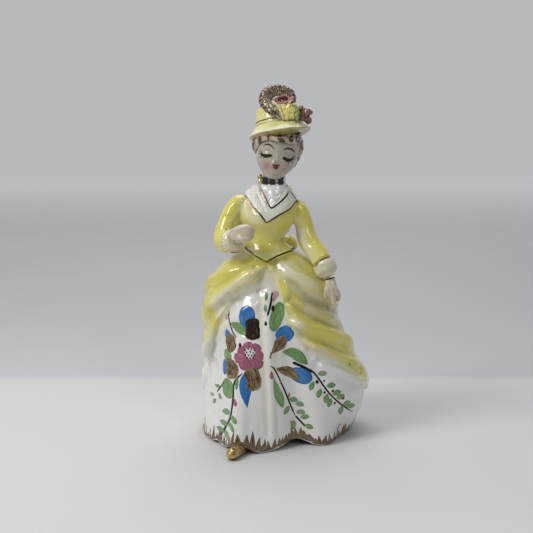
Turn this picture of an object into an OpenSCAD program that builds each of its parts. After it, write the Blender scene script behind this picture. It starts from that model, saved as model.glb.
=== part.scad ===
// Glazed ceramic lady figurine in a Victorian walking dress, built from its separately cast pieces.
// Left and right are the lady's own: her left side is +X, she faces -Y, and +Z is up.
// An angle round the figure is 0 at the front, 90 at +X and 180 at the back.

/* [Body] */
// Height of the top of the skirt's spigot, inside the bodice
waist_z = 106; // [104:0.5:108]
// Thickness of the cast skirt wall
skirt_wall = 3.2; // [2.5:0.1:4]
// Thickness of the cast bodice wall
bodice_wall = 2.2; // [1.8:0.1:2.6]
// How far the bodice point hangs below the waist at the front
bodice_point = 6.3; // [5:0.1:8]

/* [Overskirt] */
// Thickness of the draped overskirt
drape_t = 3.4; // [2.5:0.1:4.5]
// Height of the gathered ridges on the overskirt
ridge_h = 1.8; // [0.5:0.1:2.5]

/* [Hem] */
// Lift of the hem over the shoe
shoe_arch = 6.4; // [5:0.1:7]
// Lift of the hem in the front hollow
front_arch = 4.4; // [2:0.1:5]

/* [Head] */
// Half width of the head without hair
head_r = 11.2; // [10:0.1:12]
// Thickness of the modelled hair
hair_t = 2; // [1.5:0.1:2.6]

/* [Hat] */
// Radius of the hat brim
brim_r = 16.4; // [15.5:0.1:17.5]
// Radius of the crown at the brim
crown_r = 12.8; // [12.2:0.1:13.4]
// Height of the crown
crown_h = 9.2; // [8:0.1:10]

/* [Hidden] */

// The whole figure is moved so that its box stands centred on the origin.
centring = [-10.8, -5.4, 0];

// Colours
WHITE = [0.93, 0.92, 0.9];
YELLOW = [0.9, 0.86, 0.42];
CREAM = [0.9, 0.86, 0.74];
SKIN = [0.9, 0.82, 0.75];
GOLD = [0.5, 0.38, 0.22];
BROWN = [0.42, 0.3, 0.22];
PINK = [0.72, 0.42, 0.45];
GREEN = [0.4, 0.6, 0.35];

// Skirt: radius from the skirt's axis, one row per height and one column per angle.
SKIRT_Z = [0, 15, 30, 50, 70, 85, 95, 100, waist_z];
SKIRT_COLUMN_STEP = 60;
SKIRT_FIRST_ANGLE = -150;
SKIRT_R = [
    [45, 43, 40, 31, 38, 48],
    [44, 41, 37, 29, 46, 48],
    [42, 38.5, 33.5, 28, 47.5, 46],
    [37, 33.5, 28, 25, 37, 40],
    [33, 33, 22.5, 21.5, 33, 34],
    [27, 28, 18.5, 18, 29.5, 28],
    [17, 21, 14, 13.6, 23.5, 18],
    [12, 15, 11.4, 11.4, 17.2, 12.5],
    [8, 8.4, 8, 8, 8.4, 8],
];
SKIRT_AXIS_LOW = [8, 6];
SKIRT_AXIS_TOP = [-0.6, 0];
skirt_sides = 66;

// Bodice: [z, centre x, centre y, half width, half depth]
BODICE = [
    [94, 0.4, 0, 20, 17.5],
    [99, 0.2, 0, 18.2, 15.8],
    [102.5, -0.2, 0, 15.8, 13.2],
    [105.5, -1, 0, 12, 10.8],
    [108.5, -1.2, 0, 10.7, 9.8],
    [113, -0.4, 0, 12, 11],
    [119, 0.8, -0.6, 14.6, 12.8],
    [125, 1.6, 0, 15, 11.8],
    [130, 2.2, 0.4, 13.2, 9.8],
    [134, 2.8, 0.6, 9.4, 8.2],
    [138, 3.4, 0.6, 7.5, 7.2],
];
bodice_top = 134;
bodice_low_z = 104;
BODICE_V_SPAN = 76;

// Neck and head
neck_r = 6.1;
NECK_AXIS = [3.9, 0.6];
neck_foot_z = 128;
HEAD_AT = [5.6, -0.6, 153.6];
HEAD_TURN = [11, 8, -6];
// Head outline: [z, centre y, half width, half depth] as shares of head_r
HEAD = [
    [-1.24, -0.62, 0.16, 0.16],
    [-1.17, -0.52, 0.4, 0.4],
    [-1, -0.32, 0.62, 0.66],
    [-0.7, -0.14, 0.84, 0.9],
    [-0.35, -0.02, 0.97, 1.02],
    [0, 0.03, 1, 1.08],
    [0.45, 0.06, 1, 1.1],
    [0.85, 0.06, 0.88, 0.98],
    [1.12, 0.06, 0.6, 0.66],
    [1.24, 0.06, 0.26, 0.28],
];

// Hat: its own origin is the centre of the crown's foot
HAT_AT = [6.8, -0.3, 167.2];
HAT_TURN = [-11.5, -4, 0];
crown_wall = 1.6;
// Drop of the brim's edge below the crown's foot, as [angle, drop]
BRIM_DROP = [[-180, 4.2], [-90, 5.2], [-30, 4.8], [0, 4.6], [45, 3.4], [90, 1.4], [135, 3.2], [180, 4.2]];
brim_edge = 0.9;
brim_root_r = 10.6;

// Arms: [x, y, z, radius] along each sleeve
LEFT_ARM = [
    [12.5, 1, 125, 4.6], [16.6, 0.6, 123.6, 5.2], [20, 0, 116, 5.1],
    [21.6, -1.4, 108.6, 5.6], [25.4, -4, 102.4, 5.7], [29.4, -7.7, 96.6, 5.5],
];
RIGHT_ARM = [
    [-10.5, 1, 126.4, 4.6], [-15, 0.6, 126, 5.4], [-19.4, -0.4, 118, 5.7],
    [-22.2, -3, 110, 5.8], [-21.8, -7.6, 107, 5.8], [-19.2, -12, 107.2, 5.6],
];

function lerp(a, b, t) = a + (b - a) * t;
function clamp01(t) = min(1, max(0, t));
function bump(x, centre, width) = exp(-pow((x - centre) / width, 2));
function dir(a) = [sin(a), -cos(a)];
function mean(points) = [for (k = [0:2]) [for (p = points) p[k]] * [for (p = points) 1]] / len(points);
function unit(v) = v / norm(v);
function cubic(p, q, r, s, t) =
    q + 0.5 * t * (r - p + t * (2 * p - 5 * q + 4 * r - s + t * (3 * (q - r) + s - p)));
// Smooth curve through evenly spaced entries: closed for round(), open for along(), with s from 0 to 1.
function at(list, i) = list[min(len(list) - 1, max(0, i))];
function along(list, s) =
    let (x = clamp01(s) * (len(list) - 1), i = min(len(list) - 2, floor(x)))
    cubic(at(list, i - 1), at(list, i), at(list, i + 1), at(list, i + 2), x - i);
function closed(list, x) =
    let (n = len(list), i = floor(x))
    cubic(list[(i - 1 + n) % n], list[(i + n) % n], list[(i + 1) % n], list[(i + 2) % n], x - i);
// Share of the way through a rising list of heights
function place_in(heights, z) =
    let (n = len(heights), zc = min(heights[n - 1], max(heights[0], z)),
        i = min(n - 2, max([for (k = [0:n - 2]) heights[k] <= zc ? k : 0])))
    (i + (zc - heights[i]) / (heights[i + 1] - heights[i])) / (n - 1);
function piecewise(points, x) =
    let (n = len(points), xc = min(points[n - 1][0], max(points[0][0], x)),
        i = min(n - 2, max([for (k = [0:n - 2]) points[k][0] <= xc ? k : 0])))
    lerp(points[i][1], points[i + 1][1], (xc - points[i][0]) / (points[i + 1][0] - points[i][0]));

// Solid through rings of points, each running anticlockwise seen from the last ring
module loft(rings) {
    n = len(rings[0]);
    m = len(rings);
    points = concat([for (r = rings) each r], [mean(rings[0]), mean(rings[m - 1])]);
    polyhedron(points, concat(
        [for (i = [0:m - 2]) for (j = [0:n - 1]) let (k = (j + 1) % n)
            each [[i * n + j, (i + 1) * n + j, (i + 1) * n + k], [i * n + j, (i + 1) * n + k, i * n + k]]],
        [for (j = [0:n - 1]) [m * n, j, (j + 1) % n]],
        [for (j = [0:n - 1]) [m * n + 1, (m - 1) * n + (j + 1) % n, (m - 1) * n + j]]));
}

// Ring-shaped wall: the rings go up the outside and come back down the inside
module wall(outer, inner) {
    rings = concat(outer, [for (i = [len(inner) - 1:-1:0]) inner[i]]);
    n = len(rings[0]);
    m = len(rings);
    polyhedron([for (r = rings) each r],
        [for (i = [0:m - 1]) for (j = [0:n - 1]) let (k = (j + 1) % n, h = (i + 1) % m)
            each [[i * n + j, h * n + j, h * n + k], [i * n + j, h * n + k, i * n + k]]]);
}

// Sheet with thickness: two grids of rows, the rows going up and each running to the viewer's right
module slab(outer, inner) {
    m = len(outer);
    n = len(outer[0]);
    q = m * n;
    polyhedron(concat([for (r = outer) each r], [for (r = inner) each r]), concat(
        [for (i = [0:m - 2]) for (j = [0:n - 2]) let (a = i * n + j)
            each [[a, a + n, a + n + 1], [a, a + n + 1, a + 1],
                [q + a, q + a + n + 1, q + a + n], [q + a, q + a + 1, q + a + n + 1]]],
        [for (i = [0:m - 2]) let (a = i * n, b = i * n + n - 1)
            each [[a, q + a + n, a + n], [a, q + a, q + a + n],
                [b, b + n, q + b + n], [b, q + b + n, q + b]]],
        [for (j = [0:n - 2]) let (a = j, b = (m - 1) * n + j)
            each [[a, a + 1, q + a + 1], [a, q + a + 1, q + a],
                [b, q + b + 1, b + 1], [b, q + b, q + b + 1]]]));
}

// Round or oval bar along a smooth path of [x, y, z, radius]; flat squeezes it across side
function sweep_rings(path, steps, sides, side = [0, 1, 0], flat = 1) = [
    for (i = [0:steps])
        let (s = i / steps, p = along(path, s), q = along(path, min(1, s + 0.02)),
            r = along(path, max(0, s - 0.02)), d = unit([q[0] - r[0], q[1] - r[1], q[2] - r[2]]),
            u = unit(cross(d, side)), v = cross(d, u))
        [for (j = [0:sides - 1]) let (a = 360 * j / sides)
            [p[0], p[1], p[2]] + p[3] * (cos(a) * u + flat * sin(a) * v)]];
module sweep(path, steps = 10, sides = 16, side = [0, 1, 0], flat = 1) {
    loft(sweep_rings(path, steps, sides, side, flat));
}

// Ellipsoid
module egg(centre, size, sides = 14, rows = 8) {
    loft([for (i = [0:rows]) let (b = lerp(-84, 84, i / rows))
        [for (j = [0:sides - 1]) let (a = 360 * j / sides)
            centre + [size[0] * cos(b) * cos(a), size[1] * cos(b) * sin(a), size[2] * sin(b)]]]);
}

// First child less the others, kept as one mesh
module carved() {
    resize([0, 0, 0]) difference() {
        children(0);
        children([1:$children - 1]);
    }
}

// ---- Skirt ----
function skirt_axis(z) = lerp(SKIRT_AXIS_LOW, SKIRT_AXIS_TOP, clamp01(z / waist_z));
function low(z, reach) = pow(clamp01(1 - z / reach), 1.3);
function turned(a, centre) = abs(((a - centre + 540) % 360) - 180);
function near(a, centre, width) = bump(turned(a, centre), 0, width);
function skirt_r(a, z) =
    let (s = place_in(SKIRT_Z, z),
        x = ((a - SKIRT_FIRST_ANGLE + 720) % 360) / SKIRT_COLUMN_STEP,
        rows = [for (row = SKIRT_R) closed(row, x)])
    along(rows, s) + 8 * near(a, -30, 11) * low(z, 70) - 5 * near(a, 12, 16) * low(z, 60)
    + 2.6 * near(a, 46, 11) * low(z, 55) + 0.9 * near(a, 3, 5) * clamp01(1.1 - z / 95);
function hem_z(a) =
    shoe_arch * near(a, -31, 9) + front_arch * near(a, 15, 17) + 2 * near(a, -58, 11)
    + 3 * near(a, 98, 20);
function hem_gap(a) = hem_z(a) < 0.25 ? 0 : hem_z(a) - 0.25;
function skirt_point(a, z, inward = 0) =
    let (c = skirt_axis(z), r = skirt_r(a, z) - inward, d = dir(a))
    [c[0] + r * d[0], c[1] + r * d[1], z];
function skirt_ring(v, inward) = [
    for (j = [0:skirt_sides - 1]) let (a = -180 + 360 * j / skirt_sides)
        skirt_point(a, lerp(hem_gap(a), waist_z, v), inward)];
SKIRT_STEPS = [0, 0.06, 0.14, 0.24, 0.36, 0.5, 0.62, 0.74, 0.84, 0.9, 0.95, 1];
module skirt() {
    color(WHITE)
    wall([for (v = SKIRT_STEPS) skirt_ring(v, 0)], [for (v = SKIRT_STEPS) skirt_ring(v, skirt_wall)]);
}
// Upper part of the skirt only
WAIST_STEPS = [0.5, 0.62, 0.74, 0.84, 0.9, 0.95, 1];
// The skirt filled in, grown outwards by a gap
module skirt_core(out, steps = SKIRT_STEPS) {
    loft([for (v = steps) skirt_ring(v, -out)]);
}

// ---- Bodice ----
function bodice_low(a) =
    bodice_low_z - bodice_point * clamp01(1 - turned(a, 0) / BODICE_V_SPAN) - 0.9 * sin(a);
BODICE_Z = [for (row = BODICE) row[0]];
function bodice_point_at(a, z, out = 0) =
    let (row = along(BODICE, place_in(BODICE_Z, z)), d = dir(a),
        r = 1 / sqrt(pow(d[0] / (row[3] + out), 2) + pow(d[1] / (row[4] + out), 2)))
    [row[1] + r * d[0], row[2] + r * d[1], z];
bodice_sides = 40;
bodice_rows = 10;
function bodice_ring(v, out) = [
    for (j = [0:bodice_sides - 1]) let (a = -180 + 360 * j / bodice_sides)
        bodice_point_at(a, lerp(bodice_low(a), bodice_top, v), out)];
module bodice_envelope(out = 0) {
    loft([for (i = [0:bodice_rows]) bodice_ring(i / bodice_rows, out)]);
}
cavity_top = 128;
module bodice_cavity() {
    loft([for (i = [0:bodice_rows]) [for (j = [0:bodice_sides - 1]) let (a = -180 + 360 * j / bodice_sides)
        bodice_point_at(a, lerp(bodice_low(a) - 0.2, cavity_top, i / bodice_rows), -bodice_wall)]]);
}
module bodice() {
    color(YELLOW)
    carved() {
        bodice_envelope();
        bodice_cavity();
        skirt_core(0.04, WAIST_STEPS);
        neck(0.04);
    }
}

// ---- Overskirt ----
// Lower edge of each drape as [angle, height], from the bodice point round to the back
LEFT_EDGE = [[2, 96], [12, 88], [21, 66], [36, 54], [56, 42], [76, 31], [98, 22.5], [126, 21], [150, 24]];
RIGHT_EDGE = [[-150, 30], [-128, 26], [-106, 22], [-88, 26], [-79, 46], [-66, 64], [-46, 79], [-22, 90],
    [-2, 96]];
// Gathered ridges as [angle, height] points
LEFT_RIDGES = [
    [[5, 97], [43, 90], [70, 83], [90, 76], [150, 70]],
    [[24, 66], [46, 61], [69, 57], [90, 52], [150, 46]],
    [[40, 56], [60, 49], [85, 40], [104, 29], [150, 27]],
];
RIGHT_RIDGES = [
    [[-150, 76], [-110, 80], [-81, 87], [-51, 94], [-5, 97]],
    [[-150, 52], [-110, 58], [-88, 66], [-76, 75], [-51, 84], [-20, 91]],
    [[-150, 36], [-110, 42], [-89, 49], [-78, 56], [-62, 66]],
];
function gathers(ridges, a, z) =
    max([for (r = ridges) bump(z, piecewise(r, a), 4.5)]);
function drape_point(edge, ridges, u, v, out) =
    let (e = along(edge, u), a = e[0], z = lerp(e[1], bodice_low(a) - 0.05, v),
        rim = 0.45 + 0.55 * clamp01(6 * min(v + 0.02, 1.02 - v)),
        t = out * (drape_t * rim + ridge_h * gathers(ridges, a, z) * clamp01(5 * (1 - v))))
    skirt_point(a, z, (1 - out) * buried - min(t, lerp(9, bodice_wall, clamp01((z - 88) / 8))));
drape_cols = 26;
drape_rows = 14;
module drape(edge, ridges) {
    slab([for (i = [0:drape_rows]) [for (j = [0:drape_cols])
            drape_point(edge, ridges, j / drape_cols, i / drape_rows, 1)]],
        [for (i = [0:drape_rows]) [for (j = [0:drape_cols])
            drape_point(edge, ridges, j / drape_cols, i / drape_rows, 0)]]);
}
module fitted_drape(edge, ridges) {
    color(YELLOW)
    carved() {
        drape(edge, ridges);
        skirt_core(0.03);
    }
}
module left_drape() { fitted_drape(LEFT_EDGE, LEFT_RIDGES); }
module right_drape() { fitted_drape(RIGHT_EDGE, RIGHT_RIDGES); }

// Gathered back panel of the overskirt, with its puff below the waist
BUSTLE_SPAN = [150.2, 209.8];
function bustle_point(u, v, out) =
    let (a = lerp(BUSTLE_SPAN[0], BUSTLE_SPAN[1], u), w = sin(180 * u),
        z = lerp(lerp(24, 30, u) - 8 * w, bodice_low(a) - 0.05, v),
        t = drape_t + w * (5 * bump(z, 84, 13) + 3 * bump(z, 54, 10) + 2 * bump(z, 30, 8)))
    skirt_point(a, z, (1 - out) * buried - out * min(t, lerp(12, bodice_wall, clamp01((z - 90) / 10))));
bustle_cols = 11;
bustle_rows = 14;
// Puffs of cloth standing up behind the waist: [centre, size]
PUFFS = [
    [[8.8, 11.7, 103.4], [8.5, 5.7, 6]],
    [[-7.7, 11.2, 102.9], [8.1, 5.5, 6.1]],
    [[0.7, 13.6, 97.8], [9.1, 6.2, 6.2]],
];
module back_bustle() {
    color(YELLOW)
    carved() {
        union() {
            slab([for (i = [0:bustle_rows]) [for (j = [0:bustle_cols])
                    bustle_point(j / bustle_cols, i / bustle_rows, 1)]],
                [for (i = [0:bustle_rows]) [for (j = [0:bustle_cols])
                    bustle_point(j / bustle_cols, i / bustle_rows, 0)]]);
            for (puff = PUFFS) egg(puff[0], puff[1], 13, 7);
        }
        bodice_envelope(0.03);
        skirt_core(0.03);
        drape(LEFT_EDGE, LEFT_RIDGES);
        drape(RIGHT_EDGE, RIGHT_RIDGES);
    }
}

// ---- Collar, chemisette, choker ----
function collar_outer_z(a) =
    piecewise([[-180, 129], [-110, 131], [-74, 131.6], [-4, 117.6], [74, 128.6], [110, 129], [180, 129]], a);
function collar_inner_z(a) = 125.4 + 0.2 * min(54, turned(a, 2));
function collar_ring(v, out) = [
    for (j = [0:bodice_sides - 1]) let (a = -180 + 360 * j / bodice_sides)
        bodice_point_at(a, lerp(collar_outer_z(a), collar_inner_z(a), v), out)];
COLLAR_STEPS = [0, 0.5, 1];
collar_t = 1.2;
chemisette_t = 0.9;
// Depth a piece starts below the surface it is later cut back to
buried = 1.2;
module collar() {
    color(WHITE)
    carved() {
        wall([for (v = COLLAR_STEPS) collar_ring(v, collar_t)],
            [for (v = COLLAR_STEPS) collar_ring(v, -buried)]);
        bodice_envelope(0.02);
        neck(0.04);
    }
}
chemisette_top = 137.6;
function chemisette_point(a, v, out) =
    let (z = lerp(collar_inner_z(a) + 0.03, chemisette_top, v),
        p = bodice_point_at(a, min(z, bodice_top), out),
        w = clamp01((z - bodice_top + 0.6) / (chemisette_top - bodice_top + 0.6)),
        d = dir(a), r = neck_r + out)
    [lerp(p[0], NECK_AXIS[0] + r * d[0], w), lerp(p[1], NECK_AXIS[1] + r * d[1], w), z];
function chemisette_ring(v, out) = [
    for (j = [0:bodice_sides - 1]) chemisette_point(-180 + 360 * j / bodice_sides, v, out)];
chemisette_rows = 4;
module chemisette() {
    color(WHITE)
    carved() {
        wall([for (i = [0:chemisette_rows]) chemisette_ring(i / chemisette_rows, chemisette_t)],
            [for (i = [0:chemisette_rows]) chemisette_ring(i / chemisette_rows, -buried)]);
        bodice_envelope(0.02);
        neck(0.04);
    }
}
CHOKER_AT = [NECK_AXIS[0], NECK_AXIS[1], 139.4];
choker_h = 2.6;
choker_t = 0.5;
module choker_band() {
    color(WHITE)
    translate(CHOKER_AT)
    rotate_extrude($fn = 64)
    translate([neck_r + 0.02, -choker_h / 2]) square([choker_t, choker_h]);
}
BEAD_ANGLES = [-38, -7, 29];
BEAD_SIZE = [0.7, 3, 3.4];
module choker_beads() {
    color("black")
    for (a = BEAD_ANGLES)
        translate(CHOKER_AT) rotate([0, 0, a - 90])
        translate([neck_r + choker_t + 0.1, -BEAD_SIZE[1] / 2, -BEAD_SIZE[2] / 2]) cube(BEAD_SIZE);
}
BOW_KNOTS = [[[-3.4, -1.6, 140.9], [1.5, 1.5, 1.5]], [[-3.2, -2.2, 138.4], [1.5, 1.5, 1.9]]];
module neck_bow() {
    color(GOLD)
    carved() {
        for (knot = BOW_KNOTS) egg(knot[0], knot[1], 12, 8);
        translate(CHOKER_AT) cylinder(r = neck_r + choker_t + 0.06, h = 12, center = true, $fn = 64);
        wall([for (i = [0:chemisette_rows]) chemisette_ring(i / chemisette_rows, chemisette_t + 0.03)],
            [for (i = [0:chemisette_rows]) chemisette_ring(i / chemisette_rows, -buried)]);
        skull(0.03);
    }
}

// ---- Head and hair ----
module at_head() {
    translate(HEAD_AT) rotate(HEAD_TURN) children();
}
head_sides = 32;
HEAD_Z = [for (row = HEAD) row[0]];
function head_ring(z, out) =
    let (row = along(HEAD, place_in(HEAD_Z, z)))
    [for (j = [0:head_sides - 1]) let (a = -180 + 360 * j / head_sides, d = dir(a))
        [(head_r * row[2] + out) * d[0], head_r * row[1] + (head_r * row[3] + out) * d[1], head_r * z]];
HEAD_STEPS = [-1.24, -1.17, -1.05, -0.85, -0.6, -0.3, 0, 0.3, 0.6, 0.85, 1.03, 1.14, 1.24];
module skull(out) {
    at_head() loft([for (z = HEAD_STEPS) head_ring(z, out)]);
}
module neck(out) {
    translate([NECK_AXIS[0], NECK_AXIS[1], neck_foot_z]) cylinder(r = neck_r + out, h = 20, $fn = 40);
}
module head() {
    color(SKIN)
    resize([0, 0, 0]) union() {
        skull(0);
        neck(0);
        at_head() egg([0, -head_r * 1.0, -3.4], [1.5, 1.9, 2.2], 10, 6);
    }
}
// Hairline: lowest height of the hair round the head, as a share of head_r
function hair_low(a) =
    piecewise([[0, 0.58], [32, 0.56], [52, 0.3], [70, -0.06], [92, -0.12], [115, -0.7], [180, -0.95]],
        turned(a, 0));
function hair_point(a, v, gap) =
    let (z = lerp(hair_low(a), 1.2, v), row = along(HEAD, place_in(HEAD_Z, z)), d = dir(a),
        t = gap + hair_t * (0.4 + 0.6 * clamp01(4 * v)) + 0.5 * cos(9 * a) * (1 - v))
    [(head_r * row[2] + t) * d[0], head_r * row[1] + (head_r * row[3] + t) * d[1], head_r * z];
function hair_ring(v, gap) = [
    for (j = [0:head_sides - 1]) hair_point(-180 + 360 * j / head_sides, v, gap)];
hair_rows = 6;
KNOT_AT = [0, 13.4, -2.5];
KNOT_SIZE = [6.4, 5, 5.6];
module hair_solid(gap = 0) {
    at_head() {
        loft([for (i = [0:hair_rows]) hair_ring(i / hair_rows, gap)]);
        egg(KNOT_AT, KNOT_SIZE + gap * [1, 1, 1]);
    }
}
module hair() {
    color([0.75, 0.62, 0.42])
    carved() {
        hair_solid();
        skull(0.03);
        at_hat() translate([0, 0, -1.6]) cylinder(r = brim_r + 2, h = 20, $fn = 48);
        neck(0.03);
    }
}

// ---- Hat ----
module at_hat() {
    translate(HAT_AT) rotate(HAT_TURN) children();
}
brim_sides = 48;
function brim_drop(a) = piecewise(BRIM_DROP, a);
// One ring of the brim: radius, share of the full drop, and height above that
function brim_ring(r, share, up) = [
    for (j = [0:brim_sides - 1]) let (a = -180 + 360 * j / brim_sides, d = dir(a))
        [r * d[0], r * d[1], up - share * brim_drop(a)]];
module brim_solid() {
    at_hat() wall(
        [brim_ring(brim_r - 0.5, 1, -brim_edge), brim_ring(brim_r, 1, -0.35),
        brim_ring(brim_r - 0.2, 1, 0.15),
            brim_ring((brim_r + crown_r) / 2 + 0.2, 0.58, 0.15), brim_ring(crown_r + 0.5, 0.12, 0),
            brim_ring(crown_r, 0, 0)],
        [brim_ring(brim_root_r, 1, -1.6 - brim_edge), brim_ring(brim_root_r, 0.4, -1),
        brim_ring(brim_root_r, 0, 0)]);
}
module hat_brim() {
    color(YELLOW)
    carved() {
        brim_solid();
        skull(0.03);
        hair_solid(0.03);
    }
}
module hat_crown() {
    color(YELLOW)
    at_hat() translate([0, 0, 0.02]) rotate_extrude($fn = 96)
    polygon([[crown_r - crown_wall, 0], [crown_r, 0], [crown_r - 1.1, crown_h - 1],
        [crown_r - 1.5, crown_h - 0.3], [crown_r - 2.2, crown_h], [0, crown_h],
        [0, crown_h - crown_wall], [crown_r - 3, crown_h - crown_wall]]);
}
module crown_core() {
    at_hat() cylinder(r1 = crown_r + 0.05, r2 = crown_r - 1.15, h = crown_h + 0.05, $fn = 96);
}

// Plume: [x, y, z, half width] from its foot on the crown front over the top of the hat
PLUME = [
    [5.4, -13.6, 172.6, 1], [1.6, -12.4, 176.2, 2.3], [-0.6, -10, 180, 2.9], [0.8, -8.2, 183.4, 3],
    [4.4, -7, 185.2, 2.7], [8.4, -6.2, 185.2, 2.4], [11.6, -6, 183.4, 2.3], [13, -6.4, 180.8, 2],
    [13.8, -7, 178.9, 1],
];
module plume_body() {
    sweep(PLUME, 24, 16, [0, 1, 0], 1.1);
}
module plume() {
    color(BROWN)
    carved() {
        plume_body();
        crown_core();
    }
}
// Two thin stems that hold the plume's foot to the crown
STEM_DARK = [[3.6, -13.4, 174.3, 0.7], [5.8, -13.9, 172.4, 0.75], [8.2, -14, 170.6, 0.4]];
STEM_PALE = [[3, -13.4, 180, 0.5], [6.4, -13.6, 176.4, 0.5], [8.7, -13.8, 170.6, 0.45]];
module stems() {
    sweep(STEM_DARK, 8, 12);
    sweep(STEM_PALE, 8, 12);
}
module plume_stems() {
    color(GOLD)
    carved() {
        stems();
        crown_core();
        plume_body();
    }
}
// Flat curl of ribbon under the plume, open at its near end
LOOP_AT = [9.2, -5.8, 180.2];
module loop_solid(grow) {
    translate(LOOP_AT) rotate([78, -10, 0]) linear_extrude(6 + grow, center = true)
    scale([1.9, 1]) circle(r = 2.7 + grow, $fn = 40);
}
module hat_ribbon_loop() {
    color(PINK)
    carved() {
        loop_solid(0);
        translate(LOOP_AT + [-0.6, -1.6, 0.5]) rotate([78, -10, 0]) linear_extrude(6, center = true)
        scale([1.9, 1]) circle(r = 1.5, $fn = 40);
        crown_core();
        plume_body();
        stems();
    }
}
ROSE_AT = [20, -6.6, 173];
ROSE_LOBES = [[-1.9, 2.8, 1.9], [1.6, 1.4, 2.2], [1.2, -2.6, 2.2], [-1.6, -1, 2.1], [-0.2, 0.4, 2.6]];
module rose_solid(grow) {
    for (lobe = ROSE_LOBES)
        egg(ROSE_AT + [lobe[0], -lobe[2] / 3, lobe[1]],
            [lobe[2], 1.1 * lobe[2], lobe[2]] + grow * [1, 1, 1], 12, 6);
}
module hat_rose() {
    color(BROWN)
    carved() {
        rose_solid(0);
        crown_core();
        brim_solid();
    }
}
BLOSSOM_AT = [10.6, -12.9, 174.2];
BLOSSOM_LOBES = [[0, 0, 2.4], [2.6, 1.1, 1.8], [2.3, -1.9, 1.7], [-0.3, -2.7, 1.6], [-1.6, 1.8, 1.5],
    [0.9, 2.5, 1.7]];
module blossom_solid(grow) {
    for (lobe = BLOSSOM_LOBES)
        egg(BLOSSOM_AT + [lobe[0], 0.12 * abs(lobe[0]), lobe[1]],
            [lobe[2], 1 + 0.1 * lobe[2], lobe[2]] + grow * [1, 1, 1], 12, 6);
}
module hat_blossom() {
    color(YELLOW)
    carved() {
        blossom_solid(0);
        crown_core();
        stems();
        brim_solid();
    }
}
// Leaves: [centre, size]
LEAVES = [
    [[12.4, -11.6, 177.4], [3.2, 1.5, 1.3]],
    [[14.8, -11.6, 175.6], [2, 1.5, 1.7]],
    [[15.2, -11.6, 172.6], [1.7, 1.6, 2.4]],
];
module hat_leaves() {
    color(GREEN)
    carved() {
        for (leaf = LEAVES) egg(leaf[0], leaf[1], 12, 6);
        crown_core();
        rose_solid(0.03);
        blossom_solid(0.03);
        loop_solid(0.03);
        plume_body();
    }
}

// ---- Arms ----
module left_sleeve() {
    color(YELLOW)
    carved() {
        sweep(LEFT_ARM, 16, 20);
        bodice_envelope();
        drape_core();
    }
}
module right_sleeve() {
    color(YELLOW)
    carved() {
        sweep(RIGHT_ARM, 18, 20);
        bodice_envelope();
        drape_core();
    }
}
// What the arms and hands rest against
module drape_core() {
    loft([for (v = [0.5, 0.62, 0.74, 0.84, 0.9, 0.95]) skirt_ring(v, -drape_t - ridge_h - 0.05)]);
}
module left_cuff() {
    color(CREAM)
    placed_cuff([29.5, -7.75, 96.5], [3.7, -2.9, -8], 8.6, 5.4, 5.9, 3.1);
}
module right_cuff() {
    color(CREAM)
    placed_cuff([-19.1, -12.1, 107.25], [3, -4.8, 2.2], 6, 5.7, 6.3, 4.6);
}
// Barrel-shaped cuff from a point along an axis
module placed_cuff(from, axis, length, r_root, r_mid, r_end) {
    translate(from) rotate([0, acos(axis[2] / norm(axis)), atan2(axis[1], axis[0])])
    rotate_extrude($fn = 64)
    polygon([[0, 0], [r_root, 0], [r_mid, length * 0.22], [r_mid, length * 0.62],
        [lerp(r_mid, r_end, 0.6), length * 0.88], [r_end, length], [0, length]]);
}
LEFT_PALM = [[33.2, -10.9, 88.8, 2.5], [33.6, -11.9, 85, 3.1], [34.2, -12.6, 81.6, 3.6],
    [35, -13, 78.8, 2.6]];
LEFT_FINGERS = [
    [[32, -12.8, 83.8, 1.5], [31, -13.4, 81, 1.4], [30.6, -13.6, 78.6, 0.9]],
    [[34.2, -13.2, 80.6, 1.6], [34.8, -13.8, 77.4, 1.5], [35.2, -13.8, 74.8, 0.9]],
    [[36.8, -12, 81.6, 1.6], [37.7, -11.8, 78.8, 1.4], [37.4, -11.8, 76.2, 0.9]],
];
module left_hand() {
    color(SKIN)
    carved() {
        union() {
            sweep(LEFT_PALM, 6, 16, [0, 1, 0], 0.62);
            for (finger = LEFT_FINGERS) sweep(finger, 6, 10);
        }
        left_cuff();
    }
}
RIGHT_PALM = [
    [-17.4, -15.8, 109.4, 3.4], [-15.2, -18.4, 111.6, 4.6], [-12, -20.2, 113, 4.7], [-9, -20.4, 113.3, 4.4],
    [-6.8, -19.4, 113.2, 3],
];
RIGHT_FINGERS = [[[-14.4, -22, 111.2, 1.5], [-11, -23.4, 110.2, 1.6], [-7.8, -22.2, 110.4, 1.1]]];
module right_hand() {
    color(SKIN)
    carved() {
        union() {
            sweep(RIGHT_PALM, 10, 16, [0, 1, 0], 0.7);
            for (finger = RIGHT_FINGERS) sweep(finger, 6, 10);
        }
        right_cuff();
        bodice_envelope();
    }
}

// ---- Shoe ----
module shoe() {
    color(GOLD)
    carved() {
        intersection() {
            sweep([[-12.6, -31, 2.8, 3], [-15.4, -36.4, 3, 3.3], [-17.4, -41, 2.9, 3.2],
                [-18, -43.4, 2.4, 1.8]],
                10, 16);
            translate([-60, -60, 0]) cube([120, 120, 20]);
        }
        wall([for (v = SKIRT_STEPS) skirt_ring(v, -0.02)],
            [for (v = SKIRT_STEPS) skirt_ring(v, skirt_wall + 0.02)]);
    }
}

translate(centring) {
    skirt();
    left_drape();
    right_drape();
    back_bustle();
    bodice();
    collar();
    chemisette();
    head();
    hair();
    choker_band();
    choker_beads();
    neck_bow();
    hat_brim();
    hat_crown();
    plume();
    plume_stems();
    hat_ribbon_loop();
    hat_rose();
    hat_blossom();
    hat_leaves();
    left_sleeve();
    left_cuff();
    left_hand();
    right_sleeve();
    right_cuff();
    right_hand();
    shoe();
}
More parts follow.
